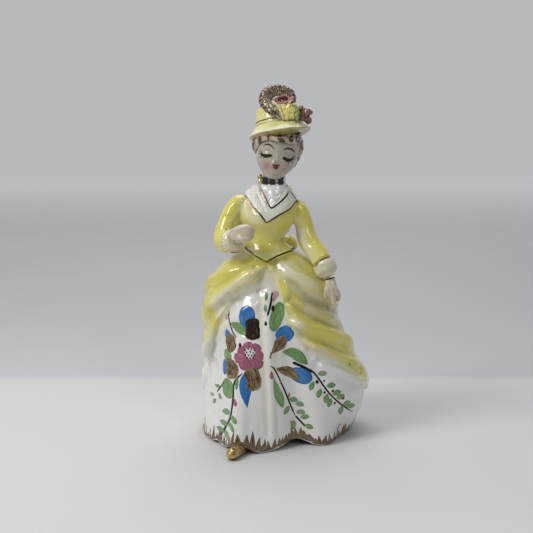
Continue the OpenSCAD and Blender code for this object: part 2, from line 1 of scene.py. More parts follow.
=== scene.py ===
"""Glazed ceramic lady figurine: airbrushed and hand-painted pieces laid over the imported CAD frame.

Lengths are millimetres in the row frame until piece() turns them into metres.
"""

import math

import bpy
import numpy as np
from mathutils import Euler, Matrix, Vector
from mathutils.bvhtree import BVHTree


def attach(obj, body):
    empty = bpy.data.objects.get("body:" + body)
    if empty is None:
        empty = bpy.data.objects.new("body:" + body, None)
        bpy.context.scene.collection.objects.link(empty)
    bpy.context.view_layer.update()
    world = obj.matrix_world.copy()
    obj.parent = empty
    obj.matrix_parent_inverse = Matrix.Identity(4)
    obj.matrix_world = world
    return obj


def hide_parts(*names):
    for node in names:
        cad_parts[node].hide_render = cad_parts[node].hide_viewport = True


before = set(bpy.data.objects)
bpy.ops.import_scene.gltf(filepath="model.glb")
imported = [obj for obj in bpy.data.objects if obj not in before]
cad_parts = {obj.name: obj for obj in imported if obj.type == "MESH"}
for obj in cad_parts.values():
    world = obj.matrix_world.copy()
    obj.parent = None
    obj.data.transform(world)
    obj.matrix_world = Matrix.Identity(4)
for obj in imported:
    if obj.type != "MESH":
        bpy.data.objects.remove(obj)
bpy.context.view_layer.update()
scene = bpy.context.scene
MM = 0.001

# ---------------------------------------------------------------- skins


def world_mesh(node):
    """A CAD node's points in millimetres and its faces."""
    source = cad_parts[node]
    points = [source.matrix_world @ v.co / MM for v in source.data.vertices]
    faces = [tuple(p.vertices) for p in source.data.polygons]
    return points, faces


def unit_rows(rows):
    return rows / np.maximum(np.linalg.norm(rows, axis=1), 1e-9)[:, None]


def ripple(points, size, seed, waves=12):
    """Smooth random swell of about the given wavelength, mostly between -1 and 1."""
    rng = np.random.default_rng(seed)
    total = np.zeros(len(points))
    for _ in range(waves):
        heading = rng.normal(size=3)
        heading /= np.linalg.norm(heading)
        length = size * rng.uniform(0.7, 1.5)
        total += np.sin(points @ heading * 2 * math.pi / length + rng.uniform(0, 6.28))
    return total / math.sqrt(waves)


def smoothstep(values, low, high):
    t = np.clip((values - low) / (high - low), 0, 1)
    return t * t * (3 - 2 * t)


def joined_tree(parts):
    """One search tree over several meshes, each a pair of points and faces."""
    points, faces = [], []
    for part_points, part_faces in parts:
        faces += [tuple(i + len(points) for i in face) for face in part_faces]
        points += [tuple(p) for p in part_points]
    return BVHTree.FromPolygons(points, faces)


class Skin:
    """A CAD node's surface as an even net of quads, shaped and tinted before it becomes a piece."""

    def __init__(self, nodes, cell, rounds):
        self.nodes = [nodes] if isinstance(nodes, str) else list(nodes)
        self.points, self.quads = self.even_net(cell)
        pairs = np.concatenate([self.quads[:, [k, (k + 1) % 4]] for k in range(4)])
        pairs.sort(axis=1)
        self.edges = np.unique(pairs, axis=0)
        # tint per point: red is the airbrushed amount, green is painted shade in hollows and creases, blue is
        # blush
        self.tint = np.zeros((len(self.points), 4))
        self.tint[:, 3] = 1
        self.owner = self.nearest_nodes() if len(self.nodes) > 1 else np.zeros(len(self.points), int)
        self.relax(rounds)

    def nearest_nodes(self):
        """Which of the skin's nodes each point lies on."""
        parts = [world_mesh(node) for node in self.nodes]
        owner_of_face = np.repeat(np.arange(len(parts)), [len(faces) for _, faces in parts])
        tree = joined_tree(parts)
        return np.array([owner_of_face[tree.find_nearest(p)[2]] for p in self.points])

    def even_net(self, cell):
        points, faces = [], []
        for node in self.nodes:
            more_points, more_faces = world_mesh(node)
            faces += [tuple(i + len(points) for i in face) for face in more_faces]
            points += more_points
        mesh = bpy.data.meshes.new("work")
        mesh.from_pydata([p * MM for p in points], [], faces)
        work = bpy.data.objects.new("work", mesh)
        scene.collection.objects.link(work)
        weld = work.modifiers.new("weld", "WELD")
        weld.merge_threshold = 1e-7
        even = work.modifiers.new("even", "REMESH")
        even.mode = "VOXEL"
        even.voxel_size = cell * MM
        result = work.evaluated_get(bpy.context.evaluated_depsgraph_get()).to_mesh()
        flat = np.empty(3 * len(result.vertices))
        result.vertices.foreach_get("co", flat)
        corners = np.empty(len(result.loops), dtype=np.int64)
        result.loops.foreach_get("vertex_index", corners)
        bpy.data.objects.remove(work)
        return flat.reshape(-1, 3) / MM, corners.reshape(-1, 4)

    def spread(self, values):
        """Each point's mean of its neighbours' values."""
        a, b = self.edges.T
        count = np.bincount(a, minlength=len(values)) + np.bincount(b, minlength=len(values))
        count = np.maximum(count, 1)
        columns = values.reshape(len(values), -1)
        means = np.empty_like(columns)
        for k in range(columns.shape[1]):
            to_a = np.bincount(a, weights=columns[b, k], minlength=len(values))
            to_b = np.bincount(b, weights=columns[a, k], minlength=len(values))
            means[:, k] = (to_a + to_b) / count
        return means.reshape(values.shape)

    def relax(self, rounds):
        """Rounds off facets and edges without shrinking the form."""
        for _ in range(rounds):
            for step in (0.6, -0.55):
                self.points = self.points + step * (self.spread(self.points) - self.points)

    def melt(self, rounds):
        """Rounds edges off more, as a thick glaze does."""
        for _ in range(rounds):
            self.points = self.points + 0.5 * (self.spread(self.points) - self.points)

    def normals(self):
        p = self.points[self.quads]
        faces = np.cross(p[:, 2] - p[:, 0], p[:, 3] - p[:, 1])
        total = np.zeros_like(self.points)
        for k in range(4):
            for axis in range(3):
                total[:, axis] += np.bincount(
                    self.quads[:, k], weights=faces[:, axis], minlength=len(total))
        return unit_rows(total)

    def push(self, amount):
        """Moves each point out along its normal by its amount."""
        self.points = self.points + self.normals() * np.asarray(amount).reshape(-1, 1)

    def near(self, path, width):
        """1 on a path over the surface, falling to 0 over about twice the width."""
        path = np.asarray(path)
        low, high = path.min(0) - 3 * width, path.max(0) + 3 * width
        inside = np.all((self.points > low) & (self.points < high), axis=1)
        close = np.full(len(self.points), 1e9)
        some = self.points[inside]
        best = np.full(len(some), 1e9)
        for spot in path:
            best = np.minimum(best, ((some - spot) ** 2).sum(1))
        close[inside] = best
        return np.exp(-close / width ** 2)

    def fold(self, path, width, height):
        self.push(height * self.near(path, width))

    def hollows(self, rounds):
        """How far each point lies in a hollow (above 0) or on a crest (below 0), in millimetres."""
        blurred = self.points
        for _ in range(rounds):
            blurred = self.spread(blurred)
        return ((blurred - self.points) * self.normals()).sum(1)

    def fill_hollows(self, rounds, depth):
        """Lets glaze gather in sharp inner corners, as it does where two parts are luted together."""
        for _ in range(rounds):
            deep = smoothstep(self.hollows(3), 0.0, depth)[:, None]
            self.points = self.points + 0.5 * deep * (self.spread(self.points) - self.points)

    def tree(self):
        return BVHTree.FromPolygons(self.points.tolist(), self.quads.tolist())

    def make(self, name, material, slot):
        self.points[:, 2] = np.maximum(self.points[:, 2], 0)
        obj = piece(name, self.points, self.quads, material, {"tint": self.tint})
        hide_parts(*self.nodes)
        return obj

    def make_parts(self, names, material):
        """One piece for each node, with the whole skin's normals, so no seam shows between them."""
        self.points[:, 2] = np.maximum(self.points[:, 2], 0)
        normals = self.normals()
        owner = self.owner[self.quads[:, 0]]
        for index, node in enumerate(self.nodes):
            name, slot = names[node]
            quads = self.quads[owner == index]
            used, renumbered = np.unique(quads, return_inverse=True)
            obj = piece(name, self.points[used], renumbered.reshape(-1, 4), material,
                        {"tint": self.tint[used]})
            obj.data.normals_split_custom_set_from_vertices(normals[used].tolist())
            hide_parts(node)


def piece(name, points, faces, material, colours):
    mesh = bpy.data.meshes.new(name)
    mesh.from_pydata((np.asarray(points) * MM).tolist(), [], np.asarray(faces).tolist())
    mesh.shade_smooth()
    for title, rows in colours.items():
        layer = mesh.color_attributes.new(title, "FLOAT_COLOR", "POINT")
        layer.data.foreach_set("color", np.asarray(rows, dtype=np.float32).ravel())
    mesh.materials.append(material)
    obj = bpy.data.objects.new(name, mesh)
    scene.collection.objects.link(obj)
    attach(obj, "root")
    return obj


# ---------------------------------------------------------------- views of a surface


def smooth_path(stops, spacing):
    """A Catmull-Rom curve through the stops, as evenly spaced rows."""
    stops = np.asarray(stops, dtype=float)
    if len(stops) == 2:
        dense = stops[0] + np.linspace(0, 1, 40)[:, None] * (stops[1] - stops[0])
    else:
        padded = np.vstack([2 * stops[0] - stops[1], stops, 2 * stops[-1] - stops[-2]])
        parts = []
        for i in range(len(stops) - 1):
            a, b, c, d = padded[i:i + 4]
            t = np.linspace(0, 1, 24, endpoint=False)[:, None]
            parts.append(0.5 * (2 * b + (c - a) * t + (2 * a - 5 * b + 4 * c - d) * t ** 2
                                + (3 * b - 3 * c + d - a) * t ** 3))
        dense = np.vstack(parts + [stops[-1:]])
    run = np.concatenate([[0], np.cumsum(np.linalg.norm(np.diff(dense, axis=0), axis=1))])
    count = max(3, int(run[-1] / spacing) + 1)
    even = np.linspace(0, run[-1], count)
    return np.stack([np.interp(even, run, dense[:, k]) for k in range(dense.shape[1])], axis=1)


class Canvas:
    """A flat view of a surface. lay() drops a point of the view onto the surface.

    Where the surface falls away by more than step, a stroke keeps to its near side.
    """

    def __init__(self, tree, azimuth=0.0, centre=(0, 0, 0), turn=None, reach=200.0, step=2.2):
        a = math.radians(azimuth)
        self.step = step
        self.tree = tree
        self.centre = Vector(centre)
        self.across = Vector((math.cos(a), math.sin(a), 0))
        self.up = Vector((0, 0, 1))
        self.back = Vector((math.sin(a), -math.cos(a), 0))
        if turn is not None:
            for name in ("across", "up", "back"):
                setattr(self, name, turn @ getattr(self, name))
        self.reach = reach

    def lay(self, u, v, near=None):
        """The surface under a point of the view. It stays beside near, never on what lies behind."""
        plane = self.centre + self.across * u + self.up * v
        spot, normal, _, _ = self.tree.ray_cast(plane + self.back * self.reach, -self.back)
        if near is not None:
            level = plane + self.back * (near - self.centre).dot(self.back)
            if spot is None or abs((spot - level).dot(self.back)) > self.step:
                spot, normal, _, _ = self.tree.find_nearest(level)
        if spot is None:
            spot, normal, _, _ = self.tree.find_nearest(plane)
        if normal.dot(self.back) < 0:
            normal = -normal
        return spot, normal

    def trace(self, stops, spacing=1.0):
        """A path of the view, laid on the surface."""
        return np.array([self.lay(u, v)[0][:] for u, v in smooth_path(stops, spacing)])


# ---------------------------------------------------------------- paint


SHAPES = {
    "stem": lambda t: np.minimum(1, np.minimum(9 * t + 0.35, 7 * (1 - t) + 0.15)),
    "leaf": lambda t: np.sin(math.pi * np.clip(t, 0.01, 0.99)) ** 0.75,
    "drop": lambda t: np.sin(math.pi * np.clip(t, 0.01, 0.995) ** 1.5) ** 0.7,
    "round": lambda t: np.sqrt(np.clip(1 - (2 * t - 1) ** 2, 0.003, 1)),
    "petal": lambda t: (np.sqrt(np.clip(1 - np.clip((t - 0.66) / 0.34, 0, 1) ** 2, 0.003, 1))
                        * (0.3 + 0.7 * t)),
    "square": lambda t: np.clip(1 - np.abs(2 * t - 1) ** 7, 0.02, 1),
    "spike": lambda t: np.clip(1 - t, 0.02, 1) ** 0.7,
}


class Paint:
    """Brush strokes of one colour, laid on a surface and standing a little proud of it."""

    def __init__(self, lift=0.13, depth=0.2):
        self.lift = lift
        self.depth = depth
        self.points, self.faces, self.brush = [], [], []
        self.count = 0

    def stroke(self, canvas, stops, width, shape="stem", spacing=None, wobble=0.0):
        """A stroke along the stops, as wide as width at its widest."""
        spacing = spacing or min(0.8, max(0.3, width / 4))
        spine = smooth_path(stops, spacing)
        rows = len(spine)
        columns = int(min(25, max(5, 2 * round(width / 1.1) + 3)))
        along = np.linspace(0, 1, rows)
        ahead = np.gradient(spine, axis=0)
        ahead /= np.maximum(np.linalg.norm(ahead, axis=1), 1e-9)[:, None]
        side = np.stack([ahead[:, 1], -ahead[:, 0]], axis=1)
        half = 0.5 * width * SHAPES[shape](along)
        rng = np.random.default_rng(7 + self.count * 13)
        tag = rng.uniform()
        rough = wobble * np.stack([
            np.convolve(rng.normal(size=rows + 4), np.ones(5) / 5, "valid") for _ in range(2)])
        start = len(self.points)
        under = []
        middle = None
        for i in range(rows):
            middle, _ = canvas.lay(*spine[i], near=middle)
            for j in range(columns):
                v = 2 * j / (columns - 1) - 1
                reach = half[i] * v + rough[int(v > 0), i] * abs(v) ** 3
                u, w = spine[i] + side[i] * reach
                spot, normal = canvas.lay(u, w, near=middle)
                rise = self.lift * max(0.0, 1 - v ** 4) ** 0.5 * min(1, 0.3 + 4 * half[i] / max(half))
                edge = i in (0, rows - 1) or j in (0, columns - 1)
                rise = -0.02 if edge else rise
                self.points.append(tuple(spot + normal * rise))
                under.append(tuple(spot - normal * self.depth))
                self.brush.append((along[i], 0.5 + v / 2, tag, 1))
        self.points += under
        self.brush += self.brush[-rows * columns:]
        lower = start + rows * columns
        for i in range(rows - 1):
            for j in range(columns - 1):
                a = start + i * columns + j
                self.faces.append((a, a + 1, a + columns + 1, a + columns))
                b = a + lower - start
                self.faces.append((b, b + columns, b + columns + 1, b + 1))
        rim = [i for i in range(columns)]
        rim += [i * columns + columns - 1 for i in range(1, rows)]
        rim += [(rows - 1) * columns + j for j in range(columns - 2, -1, -1)]
        rim += [i * columns for i in range(rows - 2, 0, -1)]
        for a, b in zip(rim, rim[1:] + rim[:1]):
            self.faces.append((start + a, lower + a, lower + b, start + b))
        self.count += 1

    def dot(self, canvas, u, v, size, wide=1.0):
        """A round dab, wide times as wide as it is high."""
        self.stroke(canvas, [(u, v - size / 2), (u, v + size / 2)], size * wide, "round",
                    spacing=max(0.12, size / 7))

    def make(self, name, material, slot):
        return piece(name, self.points, self.faces, material, {"brush": self.brush})


# ---------------------------------------------------------------- materials


class Graph:
    """A material's node tree, with short calls for the nodes used here."""

    def __init__(self, name):
        self.material = bpy.data.materials.new(name)
        self.material.use_nodes = True
        self.tree = self.material.node_tree
        self.shader = self.tree.nodes["Principled BSDF"]
        self.place = self.node("ShaderNodeTexCoord").outputs["Object"]

    def node(self, kind, **settings):
        made = self.tree.nodes.new(kind)
        for key, value in settings.items():
            setattr(made, key, value)
        return made

    def feed(self, socket, value):
        if isinstance(value, bpy.types.NodeSocket):
            self.tree.links.new(value, socket)
        else:
            socket.default_value = value

    def math(self, operation, a, b=0.0, clamp=False):
        made = self.node("ShaderNodeMath", operation=operation, use_clamp=clamp)
        self.feed(made.inputs[0], a)
        self.feed(made.inputs[1], b)
        return made.outputs[0]

    def between(self, value, low, high, to_low=0.0, to_high=1.0):
        made = self.node("ShaderNodeMapRange", interpolation_type="SMOOTHSTEP")
        for socket, item in zip(made.inputs, (value, low, high, to_low, to_high)):
            self.feed(socket, item)
        return made.outputs[0]

    def mix(self, share, a, b, blend="MIX"):
        made = self.node("ShaderNodeMix", data_type="RGBA", blend_type=blend)
        self.feed(made.inputs["Factor"], share)
        self.feed(made.inputs["A"], a if isinstance(a, bpy.types.NodeSocket) else (*a, 1))
        self.feed(made.inputs["B"], b if isinstance(b, bpy.types.NodeSocket) else (*b, 1))
        return made.outputs["Result"]

    def noise(self, size, detail=2.0, where=None, rough=0.5, warp=0.0):
        """Noise of about the given size in millimetres, from 0 to 1."""
        made = self.node("ShaderNodeTexNoise")
        self.feed(made.inputs["Vector"], where or self.place)
        made.inputs["Scale"].default_value = 1000.0 / size
        made.inputs["Detail"].default_value = detail
        made.inputs["Roughness"].default_value = rough
        made.inputs["Distortion"].default_value = warp
        return made.outputs["Fac"]

    def cells(self, size, feature="F1", where=None):
        made = self.node("ShaderNodeTexVoronoi", feature=feature)
        self.feed(made.inputs["Vector"], where or self.place)
        made.inputs["Scale"].default_value = 1000.0 / size
        return made.outputs["Distance"]

    def attribute(self, name):
        layer = self.node("ShaderNodeAttribute", attribute_name=name)
        split = self.node("ShaderNodeSeparateColor")
        self.feed(split.inputs[0], layer.outputs["Color"])
        return split.outputs

    def bump(self, height, distance, strength=1.0, normal=None):
        made = self.node("ShaderNodeBump")
        made.inputs["Strength"].default_value = strength
        made.inputs["Distance"].default_value = distance * MM
        self.feed(made.inputs["Height"], height)
        if normal:
            self.feed(made.inputs["Normal"], normal)
        return made.outputs[0]

    def finish(self, **sockets):
        for key, value in sockets.items():
            self.feed(self.shader.inputs[key.replace("_", " ")], value)
        return self.material


def glaze_bump(g, swell=0.05, grit=0.012):
    """Slow swell of a poured glaze, with fine orange peel and pinholes over it."""
    slow = g.bump(g.noise(6.0, 1.0), swell)
    fine = g.bump(g.noise(0.9, 3.0), grit, normal=slow)
    pits = g.between(g.cells(5.5), 0.0, 0.045, 0.0, 1.0)
    return g.bump(pits, 0.05, 0.6, normal=fine)


def crazed(g, colour, stain, share=0.22):
    """Hairline crazing and a few kiln specks under the glaze."""
    warp = g.node("ShaderNodeMix", data_type="VECTOR")
    g.feed(warp.inputs["Factor"], 0.0025)
    g.feed(warp.inputs[4], g.place)
    wander = g.node("ShaderNodeTexNoise")
    g.feed(wander.inputs["Vector"], g.place)
    wander.inputs["Scale"].default_value = 220
    g.feed(warp.inputs[5], wander.outputs["Color"])
    crack = g.between(g.cells(4.6, "DISTANCE_TO_EDGE", warp.outputs[1]), 0.0, 0.022, share, 0.0)
    patchy = g.math("MULTIPLY", crack, g.between(g.noise(30.0), 0.42, 0.62))
    colour = g.mix(patchy, colour, stain)
    speck = g.between(g.cells(11.0), 0.0, 0.022, 0.75, 0.0)
    return g.mix(speck, colour, (0.10, 0.06, 0.03))


def woven(g, normal, pitch):
    """Fine crossed ribs, as of a moulded cloth under the glaze."""
    for direction in ("X", "Z"):
        rib = g.node("ShaderNodeTexWave", bands_direction=direction)
        g.feed(rib.inputs["Vector"], g.place)
        rib.inputs["Scale"].default_value = 314.0 / pitch
        rib.inputs["Distortion"].default_value = 1.5
        normal = g.bump(rib.outputs["Fac"], 0.06, 0.8, normal)
    return normal


def glaze(name, thin, deep, shade, rough=(0.05, 0.15), grain=0.35, craze=0.22, milky=0.06, weave=0.0):
    """Airbrushed pottery glaze: thin colour to deep colour by the tint's red, painted shade in hollows by its
    green.
    """
    g = Graph(name)
    amount, crease_shade = g.attribute("tint")[:2]
    cloud = g.math("SUBTRACT", g.noise(9.0, 3.0), 0.5)
    spray = g.math("SUBTRACT", g.noise(0.55, 2.0, rough=0.7), 0.5)
    edge = g.math("MULTIPLY", amount, g.math("SUBTRACT", 1.35, amount))
    speckle = g.math("ADD", g.math("MULTIPLY", cloud, 0.5), g.math("MULTIPLY", spray, grain))
    drift = g.math("MULTIPLY", speckle, g.math("MULTIPLY", edge, 2.2))
    level = g.math("ADD", amount, drift, clamp=True)
    colour = g.mix(level, thin, deep)
    # Painted shade: the tint's green darkens toward the shade colour in hollows, broken up by noise.
    hollow_shade = g.math("MULTIPLY", crease_shade, g.between(g.noise(3.0, 3.0), 0.2, 0.75, 0.6, 1.0))
    colour = g.mix(hollow_shade, colour, shade)
    colour = g.mix(g.between(g.noise(22.0, 2.0), 0.35, 0.75, 0.0, 0.10), colour, shade)
    colour = crazed(g, colour, (0.34, 0.27, 0.17), craze)
    gloss = g.between(g.noise(14.0, 3.0), 0.3, 0.75, *rough)
    normal = glaze_bump(g)
    if weave:
        normal = woven(g, normal, weave)
    return g.finish(Base_Color=colour, Roughness=gloss, Normal=normal, Coat_Weight=0.55,
                    Coat_Roughness=0.03, Coat_Normal=normal, Subsurface_Weight=milky,
                    Subsurface_Radius=(1.0, 0.8, 0.6), Subsurface_Scale=0.002)


def skin_glaze(name, base, warm, blush, shade):
    """Pale bisque-toned glaze with airbrushed blush in the tint's blue and painted shade in hollows by its
    green.
    """
    g = Graph(name)
    amount, crease_shade, accent = g.attribute("tint")[:3]
    mottled = g.between(g.noise(5.0, 4.0), 0.3, 0.7, 0.0, 0.35)
    colour = g.mix(g.math("ADD", amount, mottled, clamp=True), base, warm)
    grain = g.between(g.noise(0.5, 2.0), 0.25, 0.75, 0.75, 1.1)
    colour = g.mix(g.math("MULTIPLY", accent, grain, clamp=True), colour, blush)
    # Painted shade in hollows, by the tint's green.
    colour = g.mix(crease_shade, colour, shade)
    colour = crazed(g, colour, (0.42, 0.30, 0.20), 0.12)
    normal = glaze_bump(g, 0.03, 0.008)
    gloss = g.between(g.noise(8.0, 3.0), 0.3, 0.75, 0.06, 0.16)
    return g.finish(Base_Color=colour, Roughness=gloss, Normal=normal, Coat_Weight=0.6,
                    Coat_Roughness=0.03, Coat_Normal=normal, Subsurface_Weight=0.12,
                    Subsurface_Radius=(1.0, 0.55, 0.4), Subsurface_Scale=0.0025)


def brushed(g, lengthwise=3.0, crosswise=16.0):
    """Bristle streaks along a stroke, from the brush layer's place along, across and stroke."""
    along, across, tag = g.attribute("brush")[:3]
    join = g.node("ShaderNodeCombineXYZ")
    g.feed(join.inputs[0], g.math("MULTIPLY", along, lengthwise))
    g.feed(join.inputs[1], g.math("MULTIPLY", across, crosswise))
    g.feed(join.inputs[2], g.math("MULTIPLY", tag, 60.0))
    streak = g.node("ShaderNodeTexNoise")
    g.feed(streak.inputs["Vector"], join.outputs[0])
    streak.inputs["Scale"].default_value = 1.0
    streak.inputs["Detail"].default_value = 3.0
    return streak.outputs["Fac"], along, across, tag


def enamel(name, pale, full, dark, rough=(0.12, 0.3), vary=0.25, streaks=16.0, coat=0.5, gleam=0.5):
    """Hand-brushed on-glaze colour: thin and pale mid-stroke, darker where the brush stopped."""
    g = Graph(name)
    streak, along, across, tag = brushed(g, 3.0, streaks)
    colour = g.mix(g.between(streak, 0.3, 0.62), pale, full)
    rim = g.math("ABSOLUTE", g.math("SUBTRACT", across, 0.5))
    colour = g.mix(g.between(rim, 0.36, 0.5, 0.0, 0.55), colour, dark)
    colour = g.mix(g.between(along, 0.72, 1.0, 0.0, 0.5), colour, dark)
    colour = g.mix(g.math("MULTIPLY", tag, vary), colour, dark)
    colour = g.mix(g.between(g.noise(0.8, 3.0), 0.5, 0.8, 0.0, 0.3), colour, pale)
    ridges = g.bump(streak, 0.035)
    gloss = g.between(streak, 0.3, 0.7, *rough)
    return g.finish(Base_Color=colour, Roughness=gloss, Normal=ridges, Coat_Weight=coat,
                    Coat_Roughness=0.06, Specular_IOR_Level=gleam)


def lustre(name, dark, middle, bright, source="brush", rough=(0.2, 0.42), metal=0.85, size=2.2):
    """Fired bronze or gold lustre: brushed, uneven, brown where thin and bright where thick."""
    g = Graph(name)
    if source == "brush":
        streak = brushed(g, 4.0, 18.0)[0]
        worn = g.noise(1.2, 4.0)
        level = g.math("ADD", g.math("MULTIPLY", streak, 0.75), g.math("MULTIPLY", worn, 0.25))
    else:
        amount, crease_shade = g.attribute("tint")[:2]
        level = g.math("ADD", g.math("MULTIPLY", g.noise(size, 4.0, rough=0.65, warp=0.6), 0.8),
                       g.math("MULTIPLY", amount, 0.35))
        # Painted shade: the tint's green darkens the lustre in hollows.
        level = g.math("SUBTRACT", level, g.math("MULTIPLY", crease_shade, 0.6), clamp=True)
    colour = g.mix(g.between(level, 0.41, 0.53), dark, middle)
    colour = g.mix(g.between(level, 0.53, 0.64), colour, bright)
    shine = g.between(level, 0.3, 0.6, 0.35 * metal, metal)
    ridges = g.bump(level, 0.06)
    fine = g.bump(g.noise(0.5, 3.0), 0.015, normal=ridges)
    gloss = g.between(level, 0.35, 0.7, rough[1], rough[0])
    return g.finish(Base_Color=colour, Metallic=shine, Roughness=gloss, Normal=fine,
                    Coat_Weight=0.3, Coat_Roughness=0.1)


GOWN_WHITE = (0.82, 0.82, 0.805)
YELLOW_DEEP = (0.70, 0.635, 0.115)
OLIVE = (0.34, 0.31, 0.13)
MATERIALS = {
    "white": glaze("white_ceramic", GOWN_WHITE, (0.76, 0.74, 0.42), (0.42, 0.40, 0.30)),
    "linen": glaze("collar_linen", (0.74, 0.74, 0.69), (0.70, 0.68, 0.44), (0.42, 0.40, 0.28), weave=0.8),
    "yellow": glaze("yellow_airbrush", GOWN_WHITE, YELLOW_DEEP, OLIVE),
    "hat": glaze("hat_yellow", (0.84, 0.83, 0.56), (0.76, 0.69, 0.14), (0.26, 0.20, 0.05)),
    "cream": glaze("cream_cuff", (0.70, 0.69, 0.54), (0.66, 0.61, 0.36), (0.34, 0.27, 0.13)),
    "ochre": glaze("ochre_blossom", (0.78, 0.72, 0.26), (0.68, 0.54, 0.08), (0.42, 0.28, 0.06)),
    # The face colours are kept dark: partly the bisque skin tone, partly painted shade standing for the hat
    # brim's shadow.
    "skin": skin_glaze("face_glaze_with_brim_shade", (0.46, 0.435, 0.365), (0.42, 0.385, 0.30), (0.36, 0.15, 0.185),
                       (0.24, 0.19, 0.13)),
    "hand": skin_glaze("hand_glaze", (0.62, 0.56, 0.44), (0.56, 0.48, 0.35), (0.60, 0.36, 0.26),
                       (0.28, 0.20, 0.12)),
    "hair": glaze("blond_glaze", (0.54, 0.48, 0.35), (0.26, 0.17, 0.09), (0.13, 0.08, 0.04), grain=0.2),
    "shoe": lustre("shoe_gold", (0.10, 0.06, 0.02), (0.42, 0.27, 0.10), (0.75, 0.55, 0.25), "tint"),
    "bow": lustre("bow_gold", (0.20, 0.13, 0.06), (0.60, 0.48, 0.28), (0.92, 0.86, 0.72), "tint", size=1.0),
    "plume": lustre("plume_bronze", (0.07, 0.05, 0.035), (0.26, 0.19, 0.13), (0.50, 0.40, 0.30), "tint",
                    metal=0.45, size=1.6),
    "quill": lustre("quill_gold", (0.10, 0.06, 0.03), (0.50, 0.38, 0.16), (0.90, 0.82, 0.55), "tint",
                    size=1.0),
    "mauve": glaze("mauve_ribbon", (0.66, 0.36, 0.34), (0.42, 0.16, 0.17), (0.13, 0.04, 0.04)),
    "rose": glaze("rose_brown", (0.27, 0.115, 0.085), (0.10, 0.045, 0.022), (0.035, 0.014, 0.007)),
    "leaf": glaze("leaf_glaze", (0.32, 0.42, 0.14), (0.13, 0.26, 0.06), (0.06, 0.10, 0.03)),
    "bead": glaze("bead_black", (0.012, 0.010, 0.012), (0.02, 0.016, 0.018), (0.004, 0.004, 0.004),
                  craze=0.0),
    "black": enamel("black_line", (0.02, 0.017, 0.015), (0.008, 0.007, 0.007), (0.003, 0.003, 0.003),
                    rough=(0.3, 0.5), coat=0.04, gleam=0.2),
    "blue": enamel("blue_petal", (0.05, 0.27, 0.62), (0.010, 0.13, 0.42), (0.006, 0.07, 0.28)),
    "green": enamel("green_leaf", (0.30, 0.45, 0.18), (0.115, 0.265, 0.085), (0.035, 0.12, 0.035)),
    "pink": enamel("pink_petal", (0.52, 0.20, 0.29), (0.30, 0.075, 0.14), (0.14, 0.025, 0.06)),
    "pale_pink": enamel("pink_bud", (0.66, 0.44, 0.47), (0.54, 0.24, 0.30), (0.34, 0.10, 0.16)),
    "white_dab": enamel("white_dab", (0.86, 0.84, 0.80), (0.80, 0.77, 0.72), (0.62, 0.56, 0.52)),
    "red": enamel("lip_red", (0.28, 0.025, 0.03), (0.17, 0.008, 0.014), (0.08, 0.004, 0.007), gleam=0.3),
    "orange": enamel("orange_dab", (0.66, 0.32, 0.10), (0.44, 0.17, 0.05), (0.20, 0.08, 0.03)),
    "pale_quill": glaze("pale_quill", (0.88, 0.84, 0.62), (0.82, 0.74, 0.38), (0.30, 0.20, 0.07)),
    "quill_paint": enamel("quill_paint", (0.86, 0.82, 0.60), (0.80, 0.72, 0.38), (0.50, 0.38, 0.12)),
    "hair_line": enamel("hair_stroke", (0.10, 0.05, 0.022), (0.045, 0.022, 0.010), (0.02, 0.010, 0.005)),
    "hair_wisp": enamel("hair_wisp", (0.34, 0.24, 0.14), (0.20, 0.12, 0.06), (0.13, 0.08, 0.04)),
    "bronze": lustre("bronze_leaf", (0.035, 0.018, 0.008), (0.31, 0.205, 0.10), (0.60, 0.44, 0.24),
                     metal=0.6),
    "dark_bronze": lustre("dark_bronze", (0.008, 0.006, 0.005), (0.03, 0.018, 0.010), (0.30, 0.17, 0.06)),
    "hem": lustre("hem_bronze", (0.04, 0.024, 0.012), (0.22, 0.145, 0.075), (0.56, 0.41, 0.23), metal=0.5),
    "gold": lustre("gold_line", (0.10, 0.06, 0.025), (0.36, 0.22, 0.09), (0.66, 0.46, 0.20)),
}


# ---------------------------------------------------------------- gown

GOWN = ["skirt", "left_drape", "right_drape", "back_bustle"]
cad_gown = joined_tree([world_mesh(node) for node in GOWN])
AXIS = (-6.5, -2.0, 0.0)
# Folds seen from an azimuth: (azimuth, stops across and up, width, height)
PLEAT = [
    (0, [(-11.5, 96), (-10.4, 83), (-10, 66), (-9.2, 41), (-7.4, 6)], 2.4, 0.75),
    (0, [(-15.4, 94), (-14.2, 75), (-13.4, 58), (-12, 41), (-10.2, 10)], 1.7, -0.5),
    (0, [(-6.8, 92), (-5.9, 76), (-5.6, 57), (-5.6, 37), (-5, 8)], 1.7, -0.45),
]
SKIRT_FOLDS = PLEAT + [
    (0, [(-20, 88), (-25, 60), (-27, 30), (-28, 4)], 4.5, 0.7),
    (0, [(-18, 60), (-19, 34), (-20, 4)], 3.5, -0.5),
    (0, [(-33, 40), (-35, 22), (-37, 3)], 3.5, -0.6),
    (0, [(0, 60), (4, 34), (7, 6)], 4.0, -0.6),
    (0, [(6, 48), (13, 26), (18, 5)], 4.5, 0.8),
    (0, [(16, 40), (24, 22), (29, 6)], 3.5, -0.7),
    (70, [(0, 22), (2, 12), (4, 2)], 4, -0.9),
    (110, [(2, 22), (0, 12), (-3, 2)], 4, 0.9),
    (140, [(0, 22), (0, 12), (2, 2)], 3.5, -0.8),
    (180, [(-4, 20), (-4, 12), (-6, 2)], 4, 0.8),
    (215, [(0, 22), (2, 12), (2, 2)], 3.5, -0.8),
    (250, [(0, 24), (0, 12), (-3, 2)], 4, 0.8),
    (285, [(0, 26), (2, 12), (3, 2)], 4, -0.8),
]
